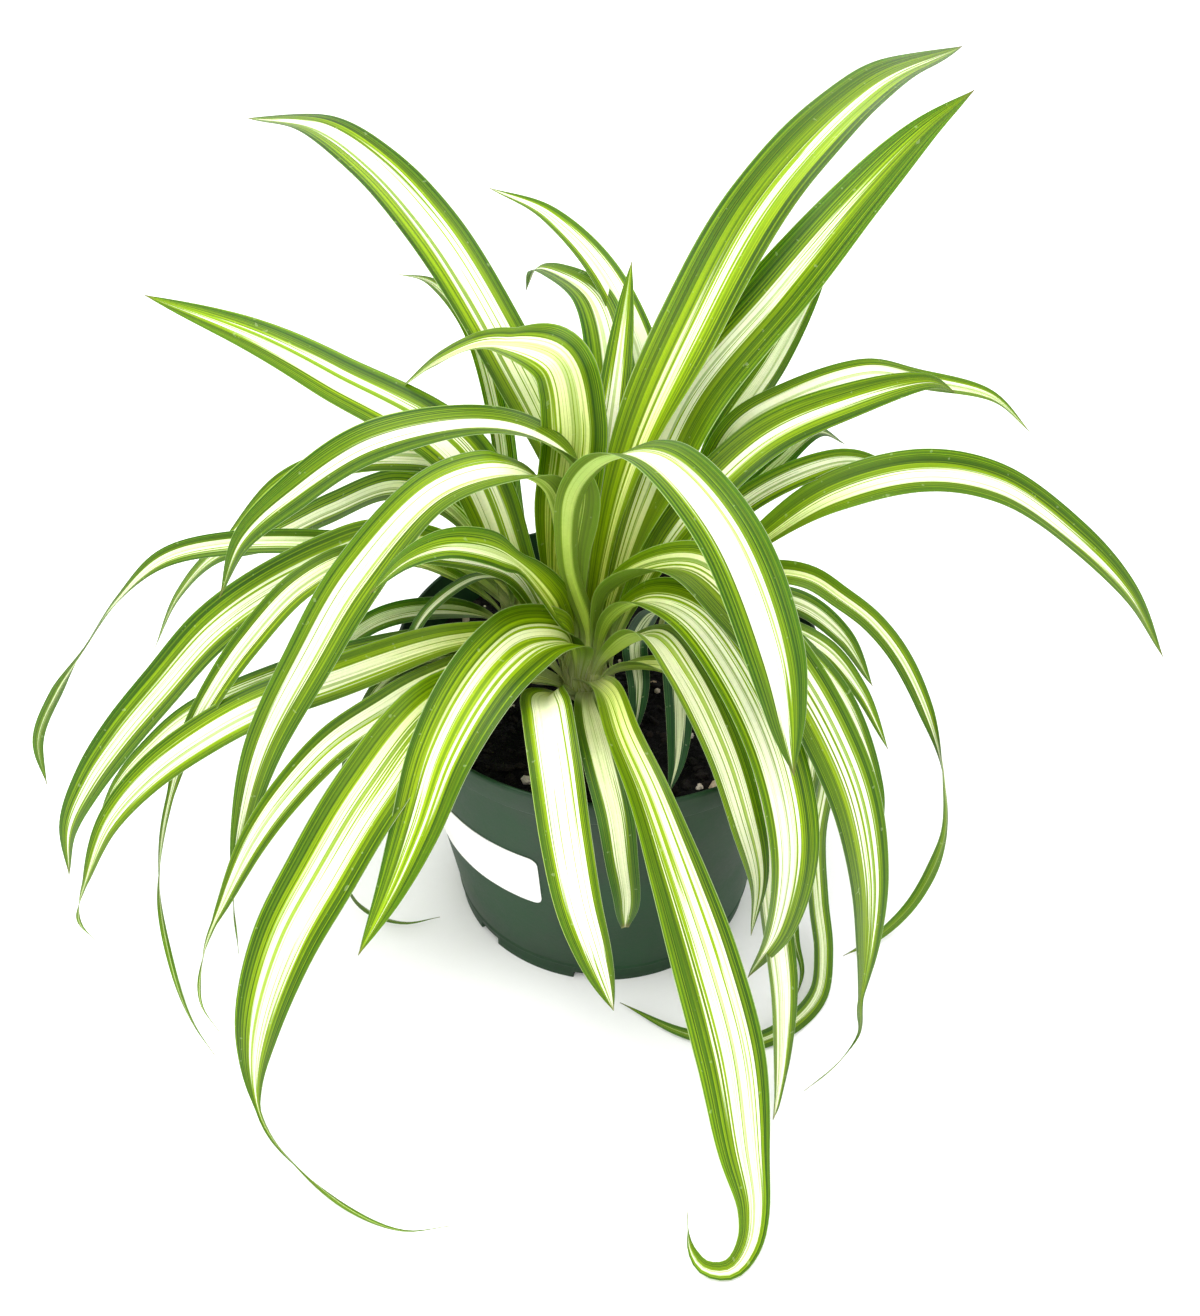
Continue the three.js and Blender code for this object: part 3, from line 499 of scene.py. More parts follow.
def stripes_group():
    """Length-wise stripes of a leaf. Across runs 0 to 1 from its left margin to its right one and Along
    from 0 where it leaves the rosette to 1 at its tip. A margin is green up to its share of the width:
    deep green outside, yellow-green inside. The core is pale with thin lines, each a narrow peak of a
    noise that is stretched along the leaf, and one wider band. The sheath and the foot of the blade are
    pale green, by Along and by Height in metres."""
    net, given, put = new_group(
        "leaf_stripes",
        {"Across": FLOAT, "Along": FLOAT, "Margins": VECTOR, "Band": VECTOR, "Habit": VECTOR,
         "Underside": FLOAT, "Height": FLOAT},
        {"Color": COLOUR, "Green": FLOAT, "Ridges": FLOAT})
    maths, times, minus, scaled, step, blend = (
        net.maths, net.times, net.minus, net.scaled, net.step, net.blend)
    across, along = given["Across"], given["Along"]
    left, right, seed = net.split(given["Margins"])
    centre, width, strength = net.split(given["Band"])
    fine, cream, dark = net.split(given["Habit"])
    shift = times(seed, 91.7)

    def streaks(count, stretch, offset, detail=1.0):
        """Noise that changes count times across the leaf and stretch times along it."""
        place = {0: times(across, count), 1: times(along, stretch), 2: maths("ADD", shift, offset)}
        return net.noise(net.add("ShaderNodeCombineXYZ", place).outputs[0], 1.0, detail)

    # How far in from the margins, as a share of the green one: 1 where the core starts.
    drift = minus(streaks(0.6, 3.0, 3.0), 0.5)
    fray = minus(streaks(26.0, 1.2, 9.0), 0.5)
    place = scaled(drift, 0.05, across)
    nearest = maths("MINIMUM", maths("DIVIDE", place, left), maths("DIVIDE", minus(1.0, place), right))
    inward = scaled(fray, 0.8, nearest)

    # The green margins.
    margin = step(inward, 0.93, 1.03, 1.0, 0.0)
    veins = streaks(46.0, 0.9, 21.0, 2.0)
    veined = step(veins, 0.35, 0.65)
    vivid = blend(step(veins, 0.4, 0.6), *VIVID)
    young = step(along, 0.0, 0.45, 1.0, 0.0)
    bright = maths("MAXIMUM", step(scaled(fray, 1.2, inward), 0.45, 1.05), times(young, 0.75))
    green = blend(bright, blend(veined, *DEEP), vivid)
    hair = streaks(64.0, 0.6, 57.0)
    green = blend(step(hair, 0.55, 0.60, 0.0, 0.55), green, vivid)

    # The lines and the band of the core.
    level = minus(0.70, times(fine, 0.10))
    level = scaled(step(inward, 1.0, 2.2, 1.0, 0.0), -0.06, level)
    thick = step(minus(streaks(24.0, 1.5, 40.0), level), 0.0, 0.025)
    thin = times(step(minus(hair, level), 0.0, 0.03), 0.6)
    off = maths("DIVIDE", maths("ABSOLUTE", minus(place, centre)), maths("MAXIMUM", width, 0.001))
    middle = times(step(scaled(fray, 0.5, off), 0.8, 1.0, 1.0, 0.0), strength)

    yellow = maths("MAXIMUM", young, times(cream, step(along, 0.2, 0.75, 1.0, 0.25)))
    core = blend(thin, blend(yellow, *CORE), THIN_LINE)
    core = blend(thick, core, THICK_LINE)
    core = blend(middle, core, blend(step(veins, 0.4, 0.62), *BAND))
    leaf = blend(margin, core, green)

    # Painted shade on leaves that lie low or inside the tuft, the pale edge line, the dry tip, the
    # underside, which has painted shade and a painted glow of light let through it, and the foot.
    # The painted shade: a leaf's dark share moves it to a deeper green with a greyer core.
    shaded_leaf = blend(margin, blend(maths("MAXIMUM", thick, thin), *SHADE_CORE), blend(veined, *SHADE_GREEN))
    leaf = blend(dark, leaf, shaded_leaf)
    to_rim = maths("MINIMUM", across, minus(1.0, across))
    # A pale line along each edge of the leaf.
    leaf = blend(step(to_rim, 0.004, 0.014, 0.35, 0.0), leaf, RIM)
    leaf = blend(step(along, 0.97, 1.0, 0.0, 0.7), leaf, DRY_TIP)
    # Underside: its own paler green, with painted shade and a painted glow of light let through the leaf.
    below = blend(0.25, blend(1.0, leaf, UNDERSIDE_SHADE_AND_GLOW, "MULTIPLY"), UNDERSIDE_AND_GLOW)
    leaf = blend(times(given["Underside"], step(along, 0.4, 0.6, 1.0, 0.35)), leaf, below)
    low = times(step(given["Height"], 0.112, 0.138, 0.9, 0.0), step(along, 0.08, 0.18, 1.0, 0.0))
    foot = maths("MAXIMUM", low, step(along, -0.07, 0.01, 0.9, 0.0))
    leaf = blend(foot, leaf, blend(veined, *SHEATH))

    net.fill(put["Color"], leaf)
    net.fill(put["Green"], margin)
    net.fill(put["Ridges"], scaled(fray, 0.6, veins))
    return net.tree


MOTTLE = mottle_group()
STRIPES = stripes_group()


def new_material(name, scales, dark, light, rough, specular, squash=None):
    """A material with one Principled shader and one uneven pattern on it, whose scales are its patches,
    its grain and the grain's share, and which squash draws out: (material, Net, shader inputs, place,
    pattern, roughness). Roughness is rough[0] in the dark of the pattern and rises by rough[1]."""
    material = bpy.data.materials.new(name)
    material.use_nodes = True
    net = Net(material.node_tree)
    shader = next(node for node in net.tree.nodes if node.type == "BSDF_PRINCIPLED").inputs
    place = net.add("ShaderNodeTexCoord").outputs["Object"]
    if squash:
        place = net.add("ShaderNodeMapping", {"Vector": place, "Scale": squash}).outputs[0]
    patch, grain, share = scales
    pattern = net.group(MOTTLE, Place=place, Patch_Scale=patch, Grain_Scale=grain, Grain_Share=share,
                        Dark=dark, Light=light)
    roughness = net.scaled(pattern["Value"], rough[1], rough[0])
    net.fill(shader["Base Color"], pattern["Color"])
    net.fill(shader["Roughness"], roughness)
    shader["Specular IOR Level"].default_value = specular
    return material, net, shader, place, pattern, roughness


def raise_surface(net, shader, height, strength, distance):
    """Bump on the shader from a height."""
    bump = net.add("ShaderNodeBump", {"Height": height, "Strength": strength, "Distance": distance})
    net.fill(shader["Normal"], bump.outputs[0])


def uneven_material(*recipe, relief=None, tints=None, **more):
    """A new_material whose pattern is also its relief, by strength and depth in metres. Tints give every
    grain a colour of its own between two, which the pattern darkens."""
    material, net, shader, _, pattern, _ = new_material(*recipe, **more)
    if tints:
        own = net.blend(net.read("tint", "Fac"), *tints)
        net.fill(shader["Base Color"], net.blend(1.0, own, pattern["Color"], "MULTIPLY"))
    if relief:
        raise_surface(net, shader, pattern["Value"], *relief)
    return material


def leaf_material():
    """Living leaf: striped by its own UV map and attributes, satin, with fine length-wise ridges and a
    little light let through."""
    material, net, shader, place, mottle, rough = new_material(
        "living_leaf", (60.0, 900.0, 0.4), (0.86, 0.9, 0.84, 1), (1, 1, 1, 1), (0.42, 0.12), 0.16)
    across, along, _ = net.split(net.add("ShaderNodeUVMap", uv_map="blade").outputs[0])
    striped = net.group(STRIPES, Across=across, Along=along, Height=net.split(place)[2],
                        Margins=net.read("margins"), Band=net.read("band"), Habit=net.read("habit"),
                        Underside=net.read("underside", "Fac"))
    tinted = net.blend(1.0, striped["Color"], mottle["Color"], "MULTIPLY")
    flecks = net.step(net.noise(place, 420.0, 1.0, 0.5), 0.72, 0.76, 0.0, 0.14)
    net.fill(shader["Base Color"], net.blend(flecks, tinted, FLECK))
    net.fill(shader["Roughness"], net.scaled(striped["Green"], -0.04, rough))
    shader["Subsurface Weight"].default_value = 0.25
    shader["Subsurface Radius"].default_value = (0.5, 1.0, 0.25)
    shader["Subsurface Scale"].default_value = 0.0012
    raise_surface(net, shader, striped["Ridges"], 0.35, 0.00025)
    return material


def plastic_material():
    """Dark green moulded plastic: satin, a little cloudy, scuffed in fine grain."""
    material, net, shader, place, _, rough = new_material(
        "green_plastic", (28.0, 700.0, 0.25), "#09290f", "#10381a", (0.42, 0.12), 0.28)
    net.fill(shader["Roughness"], net.scaled(net.noise(place, 1500.0, 3.0, 0.7), 0.1, rough))
    raise_surface(net, shader, net.noise(place, 420.0, 3.0, 0.6), 0.12, 0.0004)
    return material


# The label's paper has faint fibres, the damp mix is near-black peat with brown crumbs, the leaf bases of
# a rosette have streaks up it, and the ground is hardly uneven.
LEAF = leaf_material()
PLASTIC = plastic_material()
PAPER = uneven_material("label_paper", (50.0, 1400.0, 0.5), "#efefec", "#fafaf9", (0.5, 0.12), 0.5,
                        relief=(0.1, 0.0002))
MIX = uneven_material("damp_mix", (120.0, 1100.0, 0.6), "#020202", "#0c0a08", (0.6, 0.3), 0.15,
                      relief=(0.8, 0.001))
ROSETTE = uneven_material("pale_leaf_bases", (260.0, 900.0, 0.35), "#9fae52", "#d6dca0", (0.38, 0.15), 0.5,
                          relief=(0.4, 0.0005), squash=(1.0, 1.0, 0.08))
GROUND = uneven_material("pale_ground", (3.0, 200.0, 0.2), "#f6f6f6", "#fbfbfb", (0.75, 0.0), 0.2)


# Pot.

def wall_radius(height):
    """Radius of the tapered wall: straight from the foot band to the collar."""
    share = (height - FOOT_BAND_HEIGHT) / (WALL_TOP - FOOT_BAND_HEIGHT)
    return WALL_FOOT_RADIUS + (WALL_TOP_RADIUS - WALL_FOOT_RADIUS) * share


def make_pot():
    """A closed profile turned through 248 steps. In the slots' steps the profile's bottom corner is
    missing: the wall ends at the slot's top and the floor at its back, and flat ends close each slot."""
    inner_foot = wall_radius(POT_FLOOR) - POT_WALL - FOOT_THICKENING
    slot_inner = wall_radius(SLOT_HEIGHT) - POT_WALL - FOOT_THICKENING
    outside = rounded([
        [FOOT_RADIUS, SLOT_HEIGHT], [FOOT_RADIUS, FOOT_BAND_HEIGHT - 0.6],
        [WALL_FOOT_RADIUS + 0.55, FOOT_BAND_HEIGHT + 0.1], [WALL_FOOT_RADIUS + 0.5, FOOT_BAND_HEIGHT + 0.9],
        [wall_radius(9.2), 9.2], [wall_radius(20), 20],
        [wall_radius(60), 60], [WALL_TOP_RADIUS, WALL_TOP],
        [WALL_TOP_RADIUS + 1.2, WALL_TOP + 0.4], [RIM_RADIUS - 0.7, WALL_TOP + 6],
        [RIM_RADIUS, POT_HEIGHT - 1.4], [RIM_RADIUS - 0.2, POT_HEIGHT],
        [RIM_RADIUS - 1.4, POT_HEIGHT], [RIM_RADIUS - POT_WALL, POT_HEIGHT - 1.4],
        [WALL_TOP_RADIUS - POT_WALL + 0.6, WALL_TOP + 1], [WALL_TOP_RADIUS - POT_WALL, WALL_TOP - 1],
        [slot_inner, SLOT_HEIGHT],
    ], [0, 0.4, 0.3, 0.3, 0.4, 2, 2, 0.6, 0.6, 2, 0.6, 0.6, 0.6, 0.8, 1, 1, 0])
    floor = [[inner_foot, POT_FLOOR], [SLOT_BACK, POT_FLOOR], [FLOOR_CENTRE_RADIUS, POT_FLOOR],
             [FLOOR_CENTRE_RADIUS, 0], [SLOT_BACK, 0], [FOOT_RADIUS - 0.5, 0],
             [FOOT_RADIUS - 0.12, 0.15], [FOOT_RADIUS, 0.6]]
    profile = np.vstack([outside, floor])
    rows = len(profile)
    corner_top, corner_inner = 0, len(outside) - 1
    edge_inner, back_top, floor_top, floor_foot, back_foot, edge_foot, edge_bevel, edge_last = (
        range(len(outside), rows))

    slots = np.radians(FIRST_SLOT + 360 / SLOT_COUNT * np.arange(SLOT_COUNT))
    half = math.radians(SLOT_HALF_ANGLE)
    pitch = 2 * np.pi / SLOT_COUNT
    steps = np.concatenate([np.linspace(-half, half, SLOT_STEPS + 1),
                            np.linspace(half, pitch - half, WALL_STEPS + 1)[1:-1]])
    angles = (slots[:, None] + steps[None, :]).ravel()
    around = len(angles)
    column = np.arange(around)
    following = (column + 1) % around
    in_slot = (column % len(steps)) < SLOT_STEPS

    def band(row, next_row, columns):
        """Quads from one row of the profile to the next in some of the columns."""
        here, there = columns, following[columns]
        return np.stack([row * around + here, row * around + there,
                         next_row * around + there, next_row * around + here], axis=-1)

    end = [corner_top, corner_inner, edge_inner, back_top, back_foot, edge_foot, edge_bevel, edge_last]
    missing = set(end) - {corner_top, back_top}
    quads = [band(row, (row + 1) % rows, column[~in_slot] if row in missing else column)
             for row in range(rows) if row != floor_top]
    quads += [fan(floor_top * around + column, rows * around),
              fan((floor_foot * around + column)[::-1], rows * around + 1),
              band(corner_inner, corner_top, column[in_slot]), band(back_foot, back_top, column[in_slot])]
    end = around * np.array(end)
    firsts = column[::len(steps), None]
    caps = [*(end[::-1] + firsts), *(end + firsts + SLOT_STEPS)]
    vertices = np.vstack([turned(profile, angles), [0, 0, POT_FLOOR], [0, 0, 0]])
    return vertices, [*np.vstack(quads).tolist(), *np.array(caps).tolist()]


def make_label():
    """A grid wrapped on the tapered wall: across is arc length and height is height, with the corners
    drawn in by a quarter circle; an outer face and an inner face joined round their edge."""
    across = np.linspace(-1, 1, 61)
    across = LABEL_WIDTH / 2 * np.sign(across) * (1 - (1 - np.abs(across)) ** 1.3)
    upward = np.linspace(-1, 1, 25)
    past = np.maximum(0, np.abs(across) - (LABEL_WIDTH / 2 - LABEL_CORNER))
    half = LABEL_HEIGHT / 2 - LABEL_CORNER + np.sqrt(np.maximum(0, LABEL_CORNER ** 2 - past ** 2))
    middle = LABEL_BOTTOM + LABEL_HEIGHT / 2
    height = middle + half[:, None] * upward[None, :]
    angle = math.radians(LABEL_RIGHT_EDGE) - (across + LABEL_WIDTH / 2) / wall_radius(middle)
    angle = np.broadcast_to(angle[:, None], height.shape)

    def face(lift):
        radius = wall_radius(height) + lift
        return np.stack([radius * np.cos(angle), radius * np.sin(angle), height], axis=-1)

    outer, inner = LABEL_FACES
    pillow = LABEL_UNEVENNESS * bumps(height, angle * 65, 5, 12, 8, 30)
    return sheet(face(outer + pillow), face(inner))


def mound(radius):
    """Height of the potting mix without its crumbs: a low parabola, highest on the pot's axis."""
    return SOIL_HEIGHT + SOIL_MOUND * (1 - (radius / SOIL_RADIUS) ** 2)


def soil_height(x, y):
    """Height of the potting mix: the mound, with uneven crumbs on it that fade out at the wall."""
    radius = np.hypot(x, y)
    crumbs = sum(height * bumps(x, y, *waves) for height, *waves in CRUMBS)
    return mound(radius) + crumbs * ease(radius, SOIL_RADIUS, SOIL_RADIUS - CRUMB_FADE) - MIX_SINK


def make_mix():
    """The mix as one closed body: an uneven polar top, a tapered side and a flat underside."""
    angles = np.linspace(0, 2 * np.pi, 240, endpoint=False)
    radii = SOIL_RADIUS * np.linspace(0, 1, 90)[1:, None] ** 0.8
    x, y = radii * np.cos(angles), radii * np.sin(angles)
    top = np.stack([x, y, soil_height(x, y)], axis=-1).reshape(-1, 3)
    foot = wall_radius(MIX_FOOT_HEIGHT) - POT_WALL - 1.3
    side = turned(np.array([[SOIL_RADIUS - 0.5, MIX_SIDE_TOP], [foot, MIX_FOOT_HEIGHT],
                            [foot * 0.5, MIX_FOOT_HEIGHT]]), angles)
    centre = [0, 0, soil_height(0.0, 0.0)]
    return drawn_to_poles(np.vstack([top, side]), len(angles), centre, [0, 0, MIX_FOOT_HEIGHT])


def spun(first, second, angle):
    """Two coordinates of each grain's points, turned by the grain's angle."""
    c, s = np.cos(angle)[:, None], np.sin(angle)[:, None]
    return c * first - s * second, s * first + c * second


def grain_shapes(count, seed, smallest, largest, flat, spread, lift):
    """Grains strewn over the mix: twenty-faced lumps, each stretched, turned and placed at random from
    a fixed seed, and raised by a share of its size. spread keeps them off the wall. Returns the
    vertices, the faces and a tint from 0 to 1 for each vertex."""
    golden = (1 + 5 ** 0.5) / 2
    lump = np.array([(0, a, b * golden) for a in (-1, 1) for b in (-1, 1)])
    lump = np.vstack([lump, np.roll(lump, 1, axis=1), np.roll(lump, 2, axis=1)]) / np.hypot(1, golden)
    points = len(lump)
    apart = np.linalg.norm(lump[:, None] - lump[None, :], axis=-1)
    near = (apart > 0.1) & (apart < 1.1)
    i, j, k = np.nonzero(near[:, :, None] & near[:, None, :] & near[None, :, :])
    faces = np.stack([i, j, k], axis=-1)[(i < j) & (j < k)]
    a, b, c = (lump[faces[:, n]] for n in range(3))
    inward = np.sum(np.cross(b - a, c - a) * a, axis=1) < 0
    faces[inward] = faces[inward][:, ::-1]

    rng = np.random.default_rng(seed)
    place = rng.random((count * 3, 2)) * 2 * spread - spread
    keep = np.hypot(place[:, 0], place[:, 1]) < spread
    for x, y, radius, *_ in CROWNS.values():
        keep &= np.hypot(place[:, 0] - x, place[:, 1] - y) > radius + 1
    place = place[keep][:count]
    count = len(place)
    size = smallest * (largest / smallest) ** (rng.random(count) ** 2)
    stretch = np.stack([np.ones(count), 0.45 + 0.5 * rng.random(count), flat + 0.3 * rng.random(count)],
                       axis=1)
    shape = lump[None] * (0.8 + 0.4 * rng.random((count, points, 1))) * (stretch * size[:, None])[:, None]
    lean, turn = 0.5 * rng.standard_normal(count), 2 * np.pi * rng.random(count)
    x, y, z = np.moveaxis(shape, -1, 0)
    y, z = spun(y, z, lean)
    x, y = spun(x, y, turn)
    level = soil_height(place[:, 0], place[:, 1]) + lift * size
    shape = np.stack([x + place[:, :1], y + place[:, 1:], z + level[:, None]], axis=-1)
    faces = (faces[None] + points * np.arange(count)[:, None, None]).reshape(-1, 3)
    return shape.reshape(-1, 3), faces, np.repeat(rng.random(count), points)


# Rosettes.

def crown_foot(crown):
    """Height where a rosette stands on the mix."""
    x, y, radius, _, _ = CROWNS[crown]
    return mound(max(0.0, math.hypot(x, y) - radius)) + CROWN_RAISE


def crown_radius(crown, height):
    """Radius of a rosette's core: straight from its foot to its top."""
    _, _, radius, tall, top = CROWNS[crown]
    share = np.clip((height - crown_foot(crown)) / tall, 0, 1)
    return radius + (top - radius) * share


def make_rosette(crown):
    """The core of a rosette: its cone with a rounded head, lightly fluted round."""
    x, y, _, tall, top = CROWNS[crown]
    foot = crown_foot(crown)
    heights = foot + tall * np.linspace(-0.06, 1, 30)
    radii = crown_radius(crown, heights) - CORE_INSET
    head = np.linspace(0, 1, 7)[1:-1] * np.pi / 2
    radii = np.concatenate([radii, (top - CORE_INSET) * np.cos(head)])
    heights = np.concatenate([heights, foot + tall + CORE_HEAD * np.sin(head)])
    angles = np.linspace(0, 2 * np.pi, 64, endpoint=False)
    radius = radii[:, None] * (1 + 0.04 * np.cos(5 * angles[None] + heights[:, None] * 0.12))
    grid = np.stack([x + radius * np.cos(angles), y + radius * np.sin(angles),
                     np.broadcast_to(heights[:, None], radius.shape)], axis=-1)
    return drawn_to_poles(grid.reshape(-1, 3), len(angles), [x, y, heights[0]],
                          [x, y, foot + tall + CORE_HEAD])


# Leaves.

def smooth_line(knots):
    """A centripetal Catmull-Rom curve through the knots: cubic pieces whose tangents weigh the
    neighbouring spans by the square root of their length."""
    padded = np.vstack([2 * knots[0] - knots[1], knots, 2 * knots[-1] - knots[-2]])
    gap = np.sqrt(np.linalg.norm(np.diff(padded, axis=0), axis=1))[:, None]
    before, here, after, beyond = padded[:-3], padded[1:-2], padded[2:-1], padded[3:]
    g0, g1, g2 = gap[:-2], gap[1:-1], gap[2:]
    leave = g1 * ((here - before) / g0 - (after - before) / (g0 + g1) + (after - here) / g1)
    arrive = g1 * ((after - here) / g1 - (beyond - here) / (g1 + g2) + (beyond - after) / g2)
    t = np.linspace(0, 1, LINE_STEPS, endpoint=False)[:, None, None]
    curve = ((2 * t ** 3 - 3 * t ** 2 + 1) * here + (t ** 3 - 2 * t ** 2 + t) * leave
             + (3 * t ** 2 - 2 * t ** 3) * after + (t ** 3 - t ** 2) * arrive)
    return np.vstack([curve.transpose(1, 0, 2).reshape(-1, knots.shape[1]), knots[-1:]])


def midrib(leaf):
    """Stations of a leaf from the foot of its sheath to its tip, as the share of its length from the
    seat, which is negative in the sheath: (shares, points, directions to its left, directions up off
    its face, length from the seat to the tip)."""
    x, y, *_ = CROWNS[leaf["crown"]]
    heading = math.radians(leaf["heading"])
    out = np.array([math.cos(heading), math.sin(heading), 0])
    left = np.array([-out[1], out[0], 0])
    foot, seat = crown_foot(leaf["crown"]) - SHEATH_DEPTH, leaf["seat"]
    low = foot + (seat - foot) * np.array([0, 0.35, 0.7])
    reach = crown_radius(leaf["crown"], low) + BLADE_SEAT - (seat - low) / SHEATH_RISE
    rows = [(r, h, 0) for r, h in zip(reach, low)]
    rows.append((crown_radius(leaf["crown"], seat) + BLADE_SEAT, seat, 0))
    rows += [(*point, 0)[:3] for point in leaf["route"]]
    rows = np.array(rows, float)
    knots = np.array([x, y, 0]) + rows[:, :1] * out + rows[:, 2:] * left + rows[:, 1:2] * [0, 0, 1]
    dense = smooth_line(knots)
    length = np.concatenate([[0], np.cumsum(np.linalg.norm(np.diff(dense, axis=0), axis=1))])
    at_seat = length[LINE_STEPS * SHEATH_SPANS]
    share = (length - at_seat) / (length[-1] - at_seat)
    stations = np.concatenate([np.linspace(share[0], 0, SHEATH_STATIONS, endpoint=False),
                               np.linspace(0, 1, BLADE_STATIONS)])
    points = np.stack([np.interp(stations, share, dense[:, k]) for k in range(3)], axis=1)
    along = np.gradient(points, stations, axis=0)
    along /= np.linalg.norm(along, axis=1)[:, None]
    side = np.empty_like(along)
    carried = left
    for station, direction in enumerate(along):
        carried = carried - (carried @ direction) * direction
        carried = carried / np.linalg.norm(carried)
        side[station] = carried
    turns = np.asarray(leaf.get("roll", (0, 0)), float)
    roll = np.interp(stations, np.linspace(0, 1, len(turns)), turns)
    if "tail" in leaf:
        roll = roll + TAIL_TWIST * ease(stations, leaf["tail"][0] - 0.05, 1.05)
    roll = np.radians(roll * ease(stations, share[0], 0.0))[:, None]
    side = side * np.cos(roll) + np.cross(along, side) * np.sin(roll)
    return stations, points, side, np.cross(along, side), length[-1] - at_seat


def half_widths(leaf, share):
    """Half of a leaf's width at each station. It grows from the sheath to the middle and is drawn out to
    the tip, or follows the leaf's own form; its foot is widened, to clasp the rosette."""
    tail_start, tail_width = leaf.get("tail", (1, 0))
    if "form" in leaf:
        form = smooth_line(np.stack([np.linspace(0, 1, len(leaf["form"])), leaf["form"]], axis=1))
        form = np.interp(share, form[:, 0], form[:, 1])
    else:
        growth = SEAT_WIDTH + (1 - SEAT_WIDTH) * ease(share, 0, FULL_WIDTH_AT)
        form = growth * np.maximum(0, 1 - (np.maximum(share, 0) / tail_start) ** leaf.get("taper", TAPER))
    tail = tail_width * (1 - np.clip(share, 0, 1) ** 8)
    half = np.maximum(leaf["width"] * form, tail) / 2
    half = half + ease(share, 0.02, share[0]) * (CLASP_SHARE * leaf["width"] + CLASP_WIDTH)
    return np.maximum(half, LEAST_HALF)[:, None]


def make_leaf(leaf, seed):
    """A thin closed blade. Its section is an arc round the rosette at the sheath and opens into a shallow
    V with a rounded midrib; its margins wave gently, each with waves of its own. The skin is thickest at
    the midrib, which stands out below, and thins to the margins. Returns the vertices, the quads and, for
    each vertex, its UV, whether it is on the underside, and how far the blade has narrowed there."""
    share, points, side, up, length = midrib(leaf)
    rng = np.random.default_rng(seed)
    half = half_widths(leaf, share)
    fold = np.radians(FOLD - FOLD_FALL * ease(share, 0, 0.5))[:, None]
    opened = ease(share, -0.01, 0.12)[:, None]
    bend = (1 - ease(share, 0.0, 0.3))[:, None] / (crown_radius(leaf["crown"], leaf["seat"]) + 2.0)
    rise = half * np.sin(fold) / 2

    a = ACROSS[None, :]
    arc = bend * half * a
    groove = (np.sqrt(a ** 2 + GROOVE) - np.sqrt(GROOVE)) / (np.sqrt(1 + GROOVE) - np.sqrt(GROOVE))
    sideways = half * a * np.sinc(arc / np.pi) * (1 + (np.cos(fold) - 1) * opened)
    upward = bend * (half * a) ** 2 / 2 * np.sinc(arc / 2 / np.pi) ** 2
    upward = upward + opened * rise * (2 * groove - 1 + BULGE * np.sin(np.pi * np.abs(a)))
    run = share[:, None] * length

    def wave(shortest, longest):
        """A sine along each margin, with a length and a phase of its own, for the left and the right."""
        left, right = (np.sin(run / rng.uniform(shortest, longest) + rng.uniform(0, 6)) for _ in range(2))
        return np.where(a > 0, left, right)

    free = ease(share, 0.05, 0.3)[:, None] * half / WAVED_HALF
    upward = upward + free * a ** 2 * sum(height * wave(*lengths) for height, *lengths in WAVES)

    reached = np.clip(share, 0, 1)[:, None]
    thick = (EDGE_SKIN + MIDDLE_SKIN * np.sqrt(1 - a ** 2)) * (1 - 0.5 * reached)
    rib = RIB_DEPTH * np.exp(-(a * half / RIB_SPREAD) ** 2) * (1 - 0.8 * reached) * opened
    rib = rib * np.minimum(1, half / 4)

    def skin(lift):
        offset = sideways[..., None] * side[:, None] + (upward + lift)[..., None] * up[:, None]
        return points[:, None] + offset

    vertices, quads = sheet(skin(thick), skin(-thick - rib))
    across = np.concatenate([(1 - ACROSS) / 2, (1 - ACROSS[::-1]) / 2])
    below = np.repeat([0.0, 1.0], len(ACROSS))
    narrowed = (1 - half / half.max()) * ease(share, 0.5, 0.85)[:, None]
    grids = np.broadcast_arrays(across, share[:, None], below, narrowed)
    across, along, below, narrowed = (grid.ravel() for grid in grids)
    return vertices, quads, np.stack([across, along], axis=1), below, narrowed


def add_leaf(name, leaf, seed):
    """A leaf piece with its stripes' UV map and attributes. Its green margins widen where it narrows."""
    vertices, quads, uv, below, narrowed = make_leaf(leaf, seed)
    mesh = add_piece("blade_" + name, vertices, quads, LEAF, "leaf", "leaf_" + name)
    rng = np.random.default_rng(1000 + seed)
    margins = rng.uniform(0.22, 0.30), rng.uniform(0.22, 0.30)
    band = leaf.get("band", (rng.uniform(0.4, 0.6), 0.05, rng.uniform(0.2, 0.9)))
    habit = leaf["fine"], leaf.get("cream", 0.1), leaf.get("dark", 0.0)
    count = (len(vertices), 1)
    margins = np.tile([*(leaf["margins"] or margins), rng.random()], count)
    margins[:, :2] *= 1 + 0.7 * narrowed[:, None]
    set_uv(mesh, "blade", uv)
    set_attribute(mesh, "underside", below)
    set_attribute(mesh, "margins", margins)
    set_attribute(mesh, "band", np.tile(band, count))
    set_attribute(mesh, "habit", np.tile(habit, count))


# Assembly.

add_piece("nursery_pot", *make_pot(), PLASTIC, "pot", "pot")
add_piece("bare_label", *make_label(), PAPER, "label", "label")
add_piece("mix_body", *make_mix(), MIX, "potting_mix", "potting_mix")
for crown in CROWNS:
    add_piece("rosette_" + crown, *make_rosette(crown), ROSETTE, "crown", "crown_" + crown)
for name, (tints, recipe) in GRAINS.items():
    vertices, faces, tint = grain_shapes(*recipe)
    material = uneven_material(name, (400.0, 1800.0, 0.5), (0.6, 0.6, 0.6, 1), (1, 1, 1, 1), (0.7, 0.2),
                               0.2, relief=(0.6, 0.0005), tints=tints)
    set_attribute(add_piece(name, vertices, faces, material, "potting_mix", smooth=False), "tint", tint)
for seed, (name, leaf) in enumerate(LEAVES.items()):
    add_leaf(name, leaf, seed)


# Floor, light and camera, in metres. A light has its place, what it is aimed at, its size and its power.

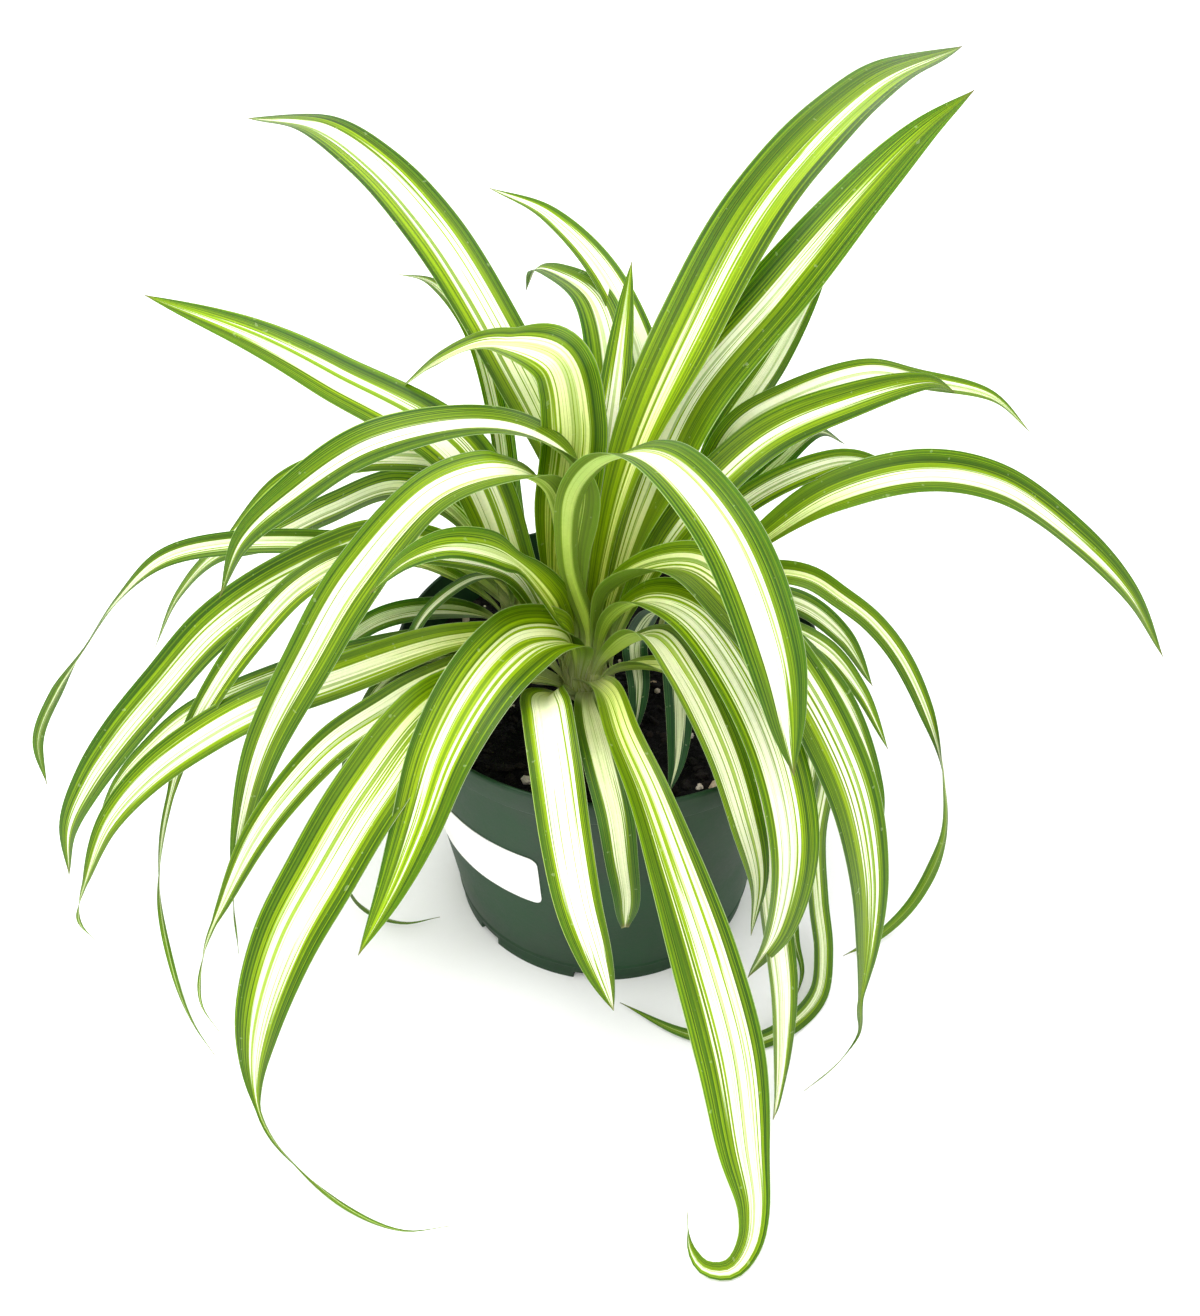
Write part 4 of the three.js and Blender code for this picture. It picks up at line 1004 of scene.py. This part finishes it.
FLOOR_HALF = 4
LIGHTS = {
    "overhead_light": ((-0.35, -0.25, 1.5), (0, 0, 0.1), 1.2, 24),
    "front_light": ((0.5, -1.4, 0.9), (0, 0, 0.1), 1.0, 7),
    "back_light": ((0.3, 1.3, 0.9), (0, 0, 0.15), 1.0, 4),
}
SURROUNDINGS = 1.2
ELEVATION, ROLL = math.radians(40.5), math.radians(1.3)
AIM, DISTANCE = (-0.0034, 0, 0.1152), 0.680

scene = bpy.context.scene
corners = FLOOR_HALF * np.array([(-1, -1, 0), (1, -1, 0), (1, 1, 0), (-1, 1, 0)])
ground = bpy.data.meshes.new("ground")
ground.from_pydata(corners.tolist(), [], [(0, 1, 2, 3)])
ground.materials.append(GROUND)
floor = bpy.data.objects.new("ground", ground)
scene.collection.objects.link(floor)

for name, (place, aim, size, power) in LIGHTS.items():
    light = bpy.data.lights.new(name, "AREA")
    light.shape, light.size, light.energy = "SQUARE", size, power
    lamp = bpy.data.objects.new(name, light)
    lamp.location = place
    lamp.rotation_euler = (mathutils.Vector(aim) - lamp.location).to_track_quat("-Z", "Y").to_euler()
    scene.collection.objects.link(lamp)

world = bpy.data.worlds.new("soft_studio")
world.use_nodes = True
backdrop = world.node_tree.nodes["Background"]
backdrop.inputs["Color"].default_value = (1, 1, 1, 1)
backdrop.inputs["Strength"].default_value = SURROUNDINGS
scene.world = world
scene.view_settings.view_transform = "Standard"

back = np.array([0, -math.cos(ELEVATION), math.sin(ELEVATION)])
level, upright = np.array([1, 0, 0]), np.array([0, math.sin(ELEVATION), math.cos(ELEVATION)])
right = level * math.cos(ROLL) + upright * math.sin(ROLL)
top = upright * math.cos(ROLL) - level * math.sin(ROLL)
place = np.array(AIM) + DISTANCE * back
camera_data = bpy.data.cameras.new("photo_camera")
camera_data.lens, camera_data.sensor_width, camera_data.clip_start = 50, 36, 0.01
camera = bpy.data.objects.new("photo_camera", camera_data)
turn = np.stack([right, top, back], axis=1)
camera.matrix_world = mathutils.Matrix([*np.column_stack([turn, place]).tolist(), [0, 0, 0, 1]])
scene.collection.objects.link(camera)
scene.camera = camera

bpy.context.view_layer.update()
